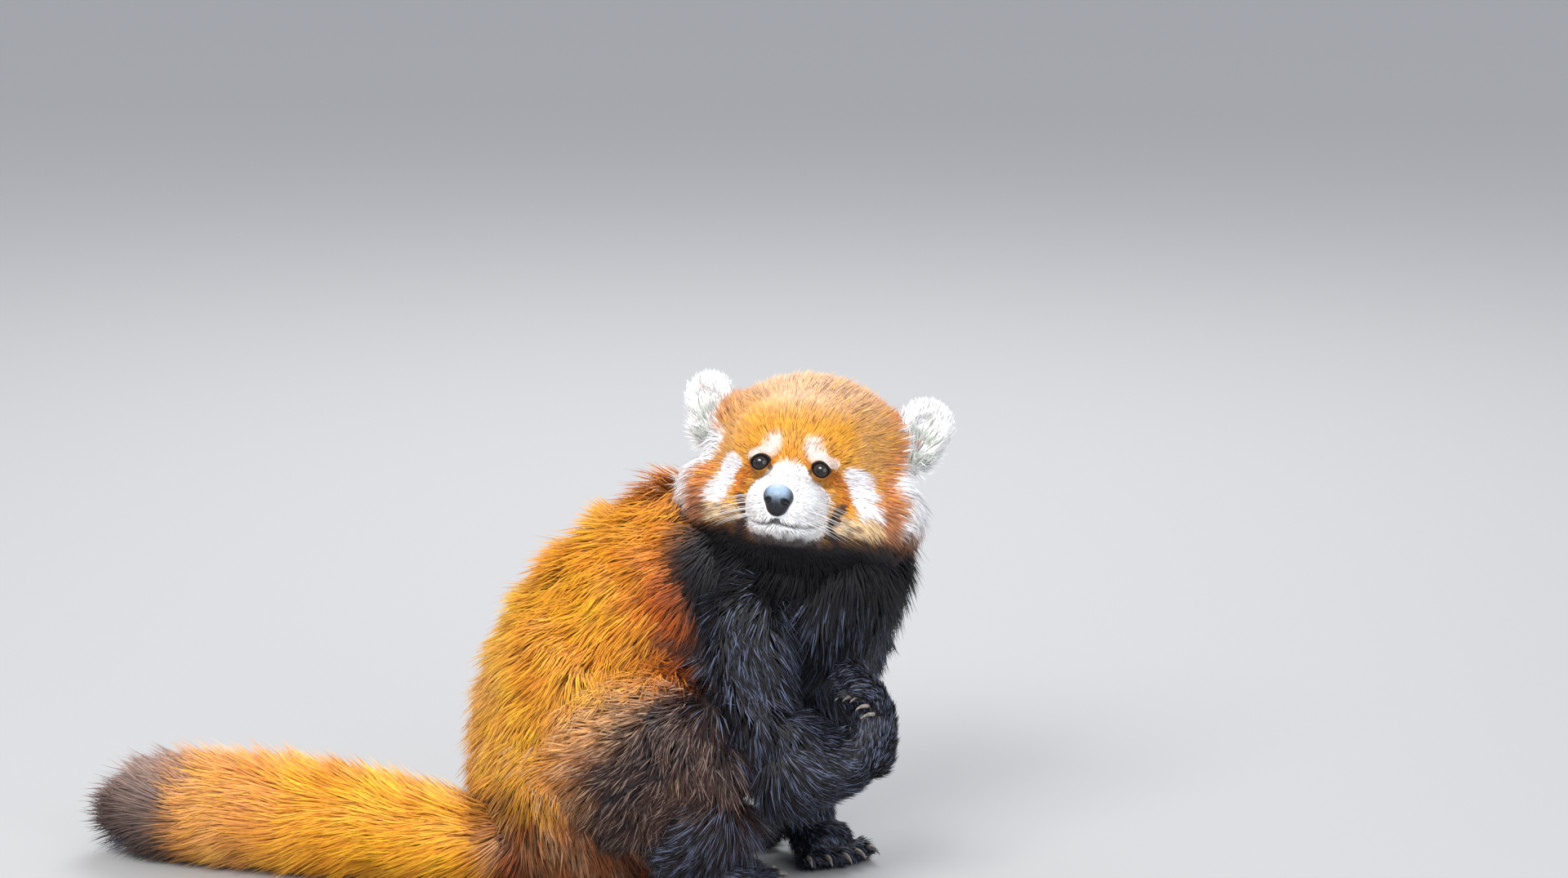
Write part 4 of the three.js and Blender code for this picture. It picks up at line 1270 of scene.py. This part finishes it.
def make_coat(skin_piece, growth, material, share):
    """The coat, as pieces of many tufts."""
    skin = skin_arrays(skin_piece)
    triangles = skin["triangles"]
    face, weights = sow(skin, growth, share)
    keys = ("lie", "length", "height", "width", "curl", "body_colour", "marked")
    pick = {key: blended(growth[key], triangles, face, weights) for key in keys}
    root = blended(skin["points"], triangles, face, weights)
    normal = unit(blended(skin["normals"], triangles, face, weights))
    flat = np.einsum("nk,nkj->nj", weights, skin["flat"][face])
    region = growth["region"][triangles[face, 0]]
    lie = unit(pick["lie"] - (pick["lie"] * normal).sum(1)[:, None] * normal)
    side = np.cross(normal, lie)
    swirl = sum((noise(root, size, seed) - 0.5) * much for size, seed, much in SWIRLS)
    swirl = swirl + draws.normal(0, SCATTER, len(root))
    swirl = swirl * pick["curl"] * np.where(pick["length"] < 9, 0.5, 1.0)
    lie = unit(lie * np.cos(swirl)[:, None] + side * np.sin(swirl)[:, None])
    vary = varied(0.2, 0.5, 1.5, len(root))
    length = pick["length"] * vary
    height = pick["height"] * vary * varied(0.16, 0.5, 1.35, len(root))
    width = pick["width"] * (0.8 + 0.4 * draws.random(len(root)))
    corners, normals = tuft_arrays(root, normal, lie, length, height, width)
    nearest = clump(root, corners)
    low = FLOOR_CLEARANCE + 0.5 * draws.random(len(root))[:, None]
    corners[:, :, 2] = np.maximum(corners[:, :, 2], low)
    whole = tuft_volumes(corners) > LEAST_TUFT
    # A tuft of the head takes the marking of the place that its outer half covers.
    colour = pick["body_colour"]
    on_head = pick["marked"] > 0
    covered = root[on_head] + lie[on_head] * (0.6 * length[on_head])[:, None]
    colour[on_head] = mix(colour[on_head], head_markings(to_head(covered)), pick["marked"][on_head])
    shaded_root, middle, tip = strand_colours(colour, root, region, nearest)
    colours = np.concatenate([shaded_root[:, None], np.repeat(middle[:, None], 3, 1), tip[:, None]], 1)
    patch = np.array([(-1, 0), (0, -0.8), (0, 0.8), (0, 0), (1, 0)]) * PATCH / 2
    flats = flat[:, None] + patch[None]
    for name, (regions, slot, axis) in COAT_PIECES.items():
        chosen = np.flatnonzero(np.isin(region, regions) & whole)
        if not len(chosen):
            continue
        order = chosen[np.argsort(root[chosen] @ np.array(axis), kind="stable")]
        pieces = math.ceil(len(order) * len(TUFT_TRIANGLES) / TRIANGLES_A_PIECE)
        for k, some in enumerate(np.array_split(order, pieces)):
            label = f"coat_{name}_{k + 1}"
            coat_piece(label, corners[some], normals[some], colours[some], flats[some], material)


COAT_PIECES = {
    "head": (["head"], "rust_fur", (0, 1, 0)),
    "ears": (["ears"], "white_fur", (1, 0, 0)),
    "trunk": (["torso", "neck"], "rust_fur", (1, 0, 0)),
    "arms": (["upper_arm_right", "upper_arm_left", "forearm_right", "forearm_left"], "black_fur", (0, 1, 0)),
    "legs": (["thigh_right", "thigh_left", "shank_right", "shank_left"], "brown_fur", (0, 1, 0)),
    "feet": (["forepaw_right", *FEET], "black_fur", (0, 1, 0)),
    "tail": (["tail"], "rust_fur", (1, 0, 0)),
}


def coat_piece(name, corners, normals, colours, flats, material):
    count, each = corners.shape[:2]
    triangles = (TUFT_TRIANGLES[None] + np.arange(count)[:, None, None] * each).reshape(-1, 3)
    piece = new_mesh(name, corners.reshape(-1, 3), triangles)
    piece.data.normals_split_custom_set(normals.reshape(-1, 3))
    paint(piece, colours.reshape(-1, 3))
    layer = piece.data.uv_layers.new(name="OFBake")
    layer.uv.foreach_set("vector", flats.reshape(-1, 2)[triangles.ravel()].astype(np.float32).ravel())
    piece.data.materials.append(material)
    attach(piece, "root")


# Materials.
def new_material(name):
    material = bpy.data.materials.new(name)
    material.use_nodes = True
    return material, material.node_tree, material.node_tree.nodes["Principled BSDF"]


def tone_group():
    """Fine mottling over painted markings, with a relief to match."""
    group = bpy.data.node_groups.new("fur_tone", "ShaderNodeTree")
    face = group.interface
    face.new_socket("Markings", in_out="INPUT", socket_type="NodeSocketColor")
    for name, value in (("Scale", 300.0), ("Amount", 0.2)):
        face.new_socket(name, in_out="INPUT", socket_type="NodeSocketFloat").default_value = value
    face.new_socket("Colour", in_out="OUTPUT", socket_type="NodeSocketColor")
    face.new_socket("Relief", in_out="OUTPUT", socket_type="NodeSocketFloat")
    nodes, links = group.nodes, group.links
    entry = nodes.new("NodeGroupInput")
    leave = nodes.new("NodeGroupOutput")
    place = nodes.new("ShaderNodeTexCoord")
    grain = nodes.new("ShaderNodeTexNoise")
    grain.inputs["Detail"].default_value = 3
    links.new(place.outputs["Object"], grain.inputs["Vector"])
    links.new(entry.outputs["Scale"], grain.inputs["Scale"])
    spread = nodes.new("ShaderNodeMapRange")
    spread.inputs["From Min"].default_value = 0.3
    spread.inputs["From Max"].default_value = 0.7
    links.new(grain.outputs["Fac"], spread.inputs["Value"])
    for operation, end in (("SUBTRACT", "To Min"), ("ADD", "To Max")):
        step = nodes.new("ShaderNodeMath")
        step.operation = operation
        step.inputs[0].default_value = 1
        links.new(entry.outputs["Amount"], step.inputs[1])
        links.new(step.outputs[0], spread.inputs[end])
    scaled = nodes.new("ShaderNodeVectorMath")
    scaled.operation = "SCALE"
    links.new(entry.outputs["Markings"], scaled.inputs[0])
    links.new(spread.outputs["Result"], scaled.inputs["Scale"])
    links.new(scaled.outputs[0], leave.inputs["Colour"])
    links.new(grain.outputs["Fac"], leave.inputs["Relief"])
    return group


def painted_material(name, group, scale, amount, roughness, bump=None):
    """A finish that shows the painted markings through the shared mottling."""
    material, tree, shader = new_material(name)
    markings = tree.nodes.new("ShaderNodeAttribute")
    markings.attribute_name = "markings"
    mottle = tree.nodes.new("ShaderNodeGroup")
    mottle.node_tree = group
    mottle.inputs["Scale"].default_value = scale
    mottle.inputs["Amount"].default_value = amount
    tree.links.new(markings.outputs["Color"], mottle.inputs["Markings"])
    tree.links.new(mottle.outputs["Colour"], shader.inputs["Base Color"])
    shader.inputs["Roughness"].default_value = roughness
    shader.inputs["Specular IOR Level"].default_value = 0.35
    if bump:
        relief = tree.nodes.new("ShaderNodeBump")
        relief.inputs["Strength"].default_value = bump[0]
        relief.inputs["Distance"].default_value = bump[1] / 1000
        tree.links.new(mottle.outputs["Relief"], relief.inputs["Height"])
        tree.links.new(relief.outputs["Normal"], shader.inputs["Normal"])
    return material


mottling = tone_group()
skin_finish = painted_material("skin_fur", mottling, 700, 0.12, 0.85, (0.3, 0.4))
coat_finish = painted_material("coat_fur", mottling, 260, 0.12, 0.5)
coat_finish.node_tree.nodes["Principled BSDF"].inputs["Sheen Weight"].default_value = 0.04


def unwrap(piece):
    activate(piece)
    piece.data.uv_layers.new(name="OFBake")
    bpy.ops.object.mode_set(mode="EDIT")
    bpy.ops.mesh.select_all(action="SELECT")
    bpy.ops.uv.smart_project(angle_limit=math.radians(75), island_margin=0.002, scale_to_bounds=False)
    bpy.ops.object.mode_set(mode="OBJECT")


skin = make_skin()
unwrap(skin)
growth = grow(points_of(skin))
soft = np.column_stack([growth["lie"], growth["length"], growth["height"]])
soft = smoothed(soft, read(skin.data.edges, "vertices", 2, int), LIE_ROUNDS)
growth["lie"], growth["length"], growth["height"] = soft[:, :3], soft[:, 3], soft[:, 4]
# The skin is painted darker than its coat: painted shade deep under the fur, less under pale fur.
pale = ramp(growth["colour"].min(1), 0.15, 0.4)
paint(skin, np.clip(growth["colour"] * (0.55 + 0.42 * pale)[:, None], 0, BRIGHTEST))
skin.data.materials.append(skin_finish)
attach(skin, "root")
flesh = [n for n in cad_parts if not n.startswith(("eye_", "claw_", "nose"))]
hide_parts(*flesh)
make_coat(skin, growth, coat_finish, 1)


# Eyes: each ring as light, with where it fades in from the one outside it.
EYE_RIM = (0.008, 0.005, 0.004)
EYE_IRIS, IRIS_EDGE = (0.018, 0.009, 0.005), (5.2, 4.4)
EYE_PUPIL, PUPIL_EDGE = (0.002, 0.002, 0.002), (3.0, 2.6)


def make_eye(name, sign):
    """A dark wet eye with a brown iris."""
    axes = HEAD_AXES @ turn(math.pi / 2, "X")
    eye = add_ball(from_head(on_side(EYE_AT, sign)), (EYE_RADIUS,) * 3, axes, *EYE_BALL)
    q = eye_offset(to_head(points_of(eye)), sign)
    ring = np.where(q[:, 1] < 0, np.hypot(q[:, 0], q[:, 2]), 99)
    iris, pupil = ramp(ring, *IRIS_EDGE), ramp(ring, *PUPIL_EDGE)
    paint(eye, layered(EYE_RIM, (EYE_IRIS, iris), (EYE_PUPIL, pupil)))
    eye.name = f"{name}_ball"
    bpy.ops.object.shade_smooth()
    eye.data.materials.append(eye_finish)
    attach(eye, "root")
    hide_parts(name)


eye_finish = painted_material("wet_eye", mottling, 900, 0.3, 0.12)
eye_shader = eye_finish.node_tree.nodes["Principled BSDF"]
eye_shader.inputs["Specular IOR Level"].default_value = 0.12
eye_shader.inputs["Coat Weight"].default_value = 0.9
eye_shader.inputs["Coat Roughness"].default_value = 0.02
for name, sign in (("eye_right", -1), ("eye_left", 1)):
    make_eye(name, sign)


# Nose.
NOSTRIL_DEEP = 3.2
NOSE_GROOVE = 0.9


def nostril_ring(h, sign):
    """1 at about the rim of a nostril."""
    q = (h - on_side(NOSTRIL_AT, sign)) / np.array(NOSTRIL_SIZE)
    return np.hypot(q[:, 0] + 0.25 * q[:, 2] * sign, q[:, 2])


def make_nose():
    """The nose pad with its two nostrils."""
    balls = [add_ball(from_head(at), size, HEAD_AXES, *FINE_BALL) for at, size in NOSE_LUMPS]
    nose = join(balls, "nose_pad")
    apply_modifier(nose, "REMESH", mode="VOXEL", voxel_size=NOSE_VOXEL / 1000)
    apply_modifier(nose, "SMOOTH", factor=0.5, iterations=6)
    h = to_head(points_of(nose))
    h = drawn_to(h, nose_field, np.ones(len(h)), 2)
    for sign in SIDES:
        h[:, 1] += NOSTRIL_DEEP * (bell(nostril_ring(h, sign), 1.05, 4) * (h[:, 1] < -91))
    h[:, 1] += NOSE_GROOVE * (bell(h[:, 0], 0.8) * ramp(h[:, 2], -6, -12) * (h[:, 1] < -90))
    set_points(nose, from_head(h))
    # Painted sky sheen: the top of the nose is painted pale blue-grey, fading to its dark colour below and
    # kept off the nostrils.
    painted_sheen = ramp(h[:, 2], -13, -2) * ramp(np.abs(h[:, 0]), 11, 4)
    holes = np.maximum(*[ramp(nostril_ring(h, sign), 1.3, 0.8) for sign in SIDES])
    paint(nose, layered("nose_low", ("nose_painted_sheen", painted_sheen * (1 - holes))))
    wet = painted_material("nose_skin", mottling, 1500, 0.3, 0.34, (0.5, 0.25))
    nose.data.materials.append(wet)
    activate(nose)
    bpy.ops.object.shade_smooth()
    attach(nose, "root")
    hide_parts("nose")


make_nose()


# Claws and whiskers are swept spikes.
def spike(line, radii, side, around):
    """A closed round spike along a line of points, its last radius being its tip."""
    line = np.asarray(line, float)
    tangent = unit(np.gradient(line, axis=0))
    side = unit(side - (tangent @ side)[:, None] * tangent)
    across = np.cross(tangent, side)
    turns = np.linspace(0, 2 * np.pi, around, endpoint=False)
    ring = np.cos(turns)[:, None] * side[:, None] + np.sin(turns)[:, None] * across[:, None]
    points = (line[:, None] + ring * np.asarray(radii)[:, None, None])[:-1].reshape(-1, 3)
    points = np.vstack([points, line[-1], line[0]])
    tip, heel = len(points) - 2, len(points) - 1
    triangles = []
    for i in range(len(line) - 2):
        for k in range(around):
            j = (k + 1) % around
            a, b = i * around + k, i * around + j
            triangles += [(a, b, b + around), (a, b + around, a + around)]
    last = (len(line) - 2) * around
    for k in range(around):
        j = (k + 1) % around
        triangles += [(last + k, last + j, tip), (j, k, heel)]
    return points, np.array(triangles)


def join_arrays(shapes):
    points, triangles, start = [], [], 0
    for some, faces in shapes:
        points.append(some)
        triangles.append(faces + start)
        start += len(some)
    return np.vstack(points), np.vstack(triangles)


# Along a claw, as shares of its length: how far on, how far down, and its radius.
CLAW_SHAPE = (
    (-0.3, 0, 2.0),
    (0, -0.03, 2.0),
    (0.3, -0.04, 1.8),
    (0.5, 0.0, 1.5),
    (0.7, 0.08, 1.1),
    (0.85, 0.19, 0.7),
    (0.95, 0.30, 0.3),
    (0.99, 0.36, 0),
)


def claw(root, out, down, side, size=1.0):
    long = CLAW_LENGTH * size
    line = [root + out * k * long + down * sag * long for k, sag, _ in CLAW_SHAPE]
    return spike(line, [radius * size for *_, radius in CLAW_SHAPE], side, 10)


def foot_claws(plan):
    _, side = foot_axes(plan)
    shapes = []
    for toe in TOES:
        root, direction = toe_of(plan, toe)
        root = root + direction * (plan["length"] * TOE_REACH - 2)
        root[2] = CLAW_HEIGHT
        shapes.append(claw(root, direction, np.array((0, 0, -1.0)), side))
    return shapes


def hand_claws():
    shapes = []
    for toe in TOES:
        line = [np.array(p) for p in finger_line(toe)]
        out = unit(line[3] - line[2])
        down = unit(np.cross(out, HAND_ACROSS))
        down = -down if down @ HAND_UP > 0 else down
        shapes.append(claw(line[3] - out * 3 + down, out, down, HAND_ACROSS, HAND_CLAW_SIZE))
    return shapes


def streaked_material(name, scale, low, high, roughness):
    """A finish that runs between two colours in streaks. Low and high are a place and a colour."""
    material, tree, shader = new_material(name)
    place = tree.nodes.new("ShaderNodeTexCoord")
    streaks = tree.nodes.new("ShaderNodeTexNoise")
    streaks.inputs["Scale"].default_value = scale
    tree.links.new(place.outputs["Object"], streaks.inputs["Vector"])
    colours = tree.nodes.new("ShaderNodeValToRGB")
    for k, (stop, colour) in enumerate((low, high)):
        colours.color_ramp.elements[k].position = stop
        colours.color_ramp.elements[k].color = (*colour, 1)
    tree.links.new(streaks.outputs["Fac"], colours.inputs["Fac"])
    tree.links.new(colours.outputs["Color"], shader.inputs["Base Color"])
    shader.inputs["Roughness"].default_value = roughness
    return material


horn = streaked_material("claw_horn", 420, (0.35, (0.10, 0.088, 0.076)), (0.65, (0.26, 0.225, 0.19)), 0.35)
claw_sets = {foot: foot_claws(plan) for foot, plan in FEET.items()}
claw_sets["forepaw_right"] = hand_claws()
for foot, shapes in claw_sets.items():
    claws = new_mesh(f"claws_{foot}", *join_arrays(shapes))
    claws.data.materials.append(horn)
    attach(claws, "root")
    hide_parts(*(f"claw_{foot}_{k + 1}" for k in range(len(TOES))))


WHISKER_ROWS = ((-9, 36), (-13, 46), (-17, 50), (-21, 40))  # height and length
WHISKERS_A_ROW = 4
WHISKER_RADIUS = 0.26
WHISKER_POINTS = 7


def make_whiskers():
    """Pale whiskers that sweep out and back from the muzzle."""
    shapes = []
    steps = np.linspace(0, 1, WHISKER_POINTS)
    for sign in SIDES:
        for height, long in WHISKER_ROWS:
            for k in range(WHISKERS_A_ROW):
                start = on_side((13 + 3.2 * k, -84 + 4.2 * k, height + draws.normal(0, 0.7)), sign)
                away = unit(on_side((1, 0.15 + 0.12 * k, -0.10 + 0.012 * (height + 9)), sign))
                length = long * (0.75 + 0.3 * draws.random())
                bend = np.array((0, 0.10, -0.16)) * length
                line = [start + away * length * (t - 0.06) + bend * t * t for t in steps]
                radii = WHISKER_RADIUS * (1 - steps)
                shapes.append(spike(from_head(line), radii, np.array((0, 0, 1.0)), 4))
    whiskers = new_mesh("whiskers", *join_arrays(shapes))
    pale = streaked_material("whisker", 60, (0, (0.62, 0.58, 0.54)), (1, (0.85, 0.82, 0.78)), 0.4)
    whiskers.data.materials.append(pale)
    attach(whiskers, "root")


make_whiskers()


# The floor, the light and the camera.
FLOOR_WIDTH = 30


def make_floor():
    deselect()
    bpy.ops.mesh.primitive_plane_add(size=1, location=(0, 0, 0))
    floor = bpy.context.object
    floor.name = "floor"
    floor.scale = (FLOOR_WIDTH, FLOOR_WIDTH, 1)
    apply_place(floor)
    pale, _, shader = new_material("pale_floor")
    shader.inputs["Base Color"].default_value = (0.40, 0.395, 0.385, 1)
    shader.inputs["Roughness"].default_value = 0.8
    floor.data.materials.append(pale)


def make_light(name, at, aim, size, power, colour):
    lamp = bpy.data.lights.new(name, "AREA")
    lamp.size = size
    lamp.energy = power
    lamp.color = colour
    piece = bpy.data.objects.new(name, lamp)
    bpy.context.scene.collection.objects.link(piece)
    piece.location = at
    piece.rotation_mode = "QUATERNION"
    piece.rotation_quaternion = (Vector(aim) - Vector(at)).to_track_quat("-Z", "Y")


make_floor()
make_light("key", (-0.9, -1.9, 2.1), (0, 0, 0.15), 1.1, 50, (1, 0.97, 0.93))
make_light("fill", (1.6, -2.2, 0.8), (0.1, 0, 0.2), 1.8, 22, (0.94, 0.97, 1))
make_light("spark", (-0.25, -2.1, 2.0), (0.1, 0, 0.28), 0.6, 24, (1, 1, 1))
make_light("rim", (0.2, 1.7, 2.0), (0, 0, 0.15), 1.4, 40, (0.95, 0.97, 1))
world = bpy.data.worlds.new("studio")
world.use_nodes = True
world.node_tree.nodes["Background"].inputs["Color"].default_value = (0.86, 0.90, 1, 1)
world.node_tree.nodes["Background"].inputs["Strength"].default_value = 0.92
bpy.context.scene.world = world
bpy.context.scene.view_settings.view_transform = "Standard"

CAMERA_AT = (89.9, -2872.7, 913.5)
CAMERA_PITCH = 12
FOCAL_PIXELS = 5340
PHOTO_WIDTH = 1920
SENSOR = 36
camera = bpy.data.objects.new("camera", bpy.data.cameras.new("camera"))
bpy.context.scene.collection.objects.link(camera)
camera.data.sensor_width = SENSOR
camera.data.lens = FOCAL_PIXELS / PHOTO_WIDTH * SENSOR
camera.location = to_frame(CAMERA_AT)
camera.rotation_euler = (math.radians(90 - CAMERA_PITCH), 0, 0)
bpy.context.scene.camera = camera
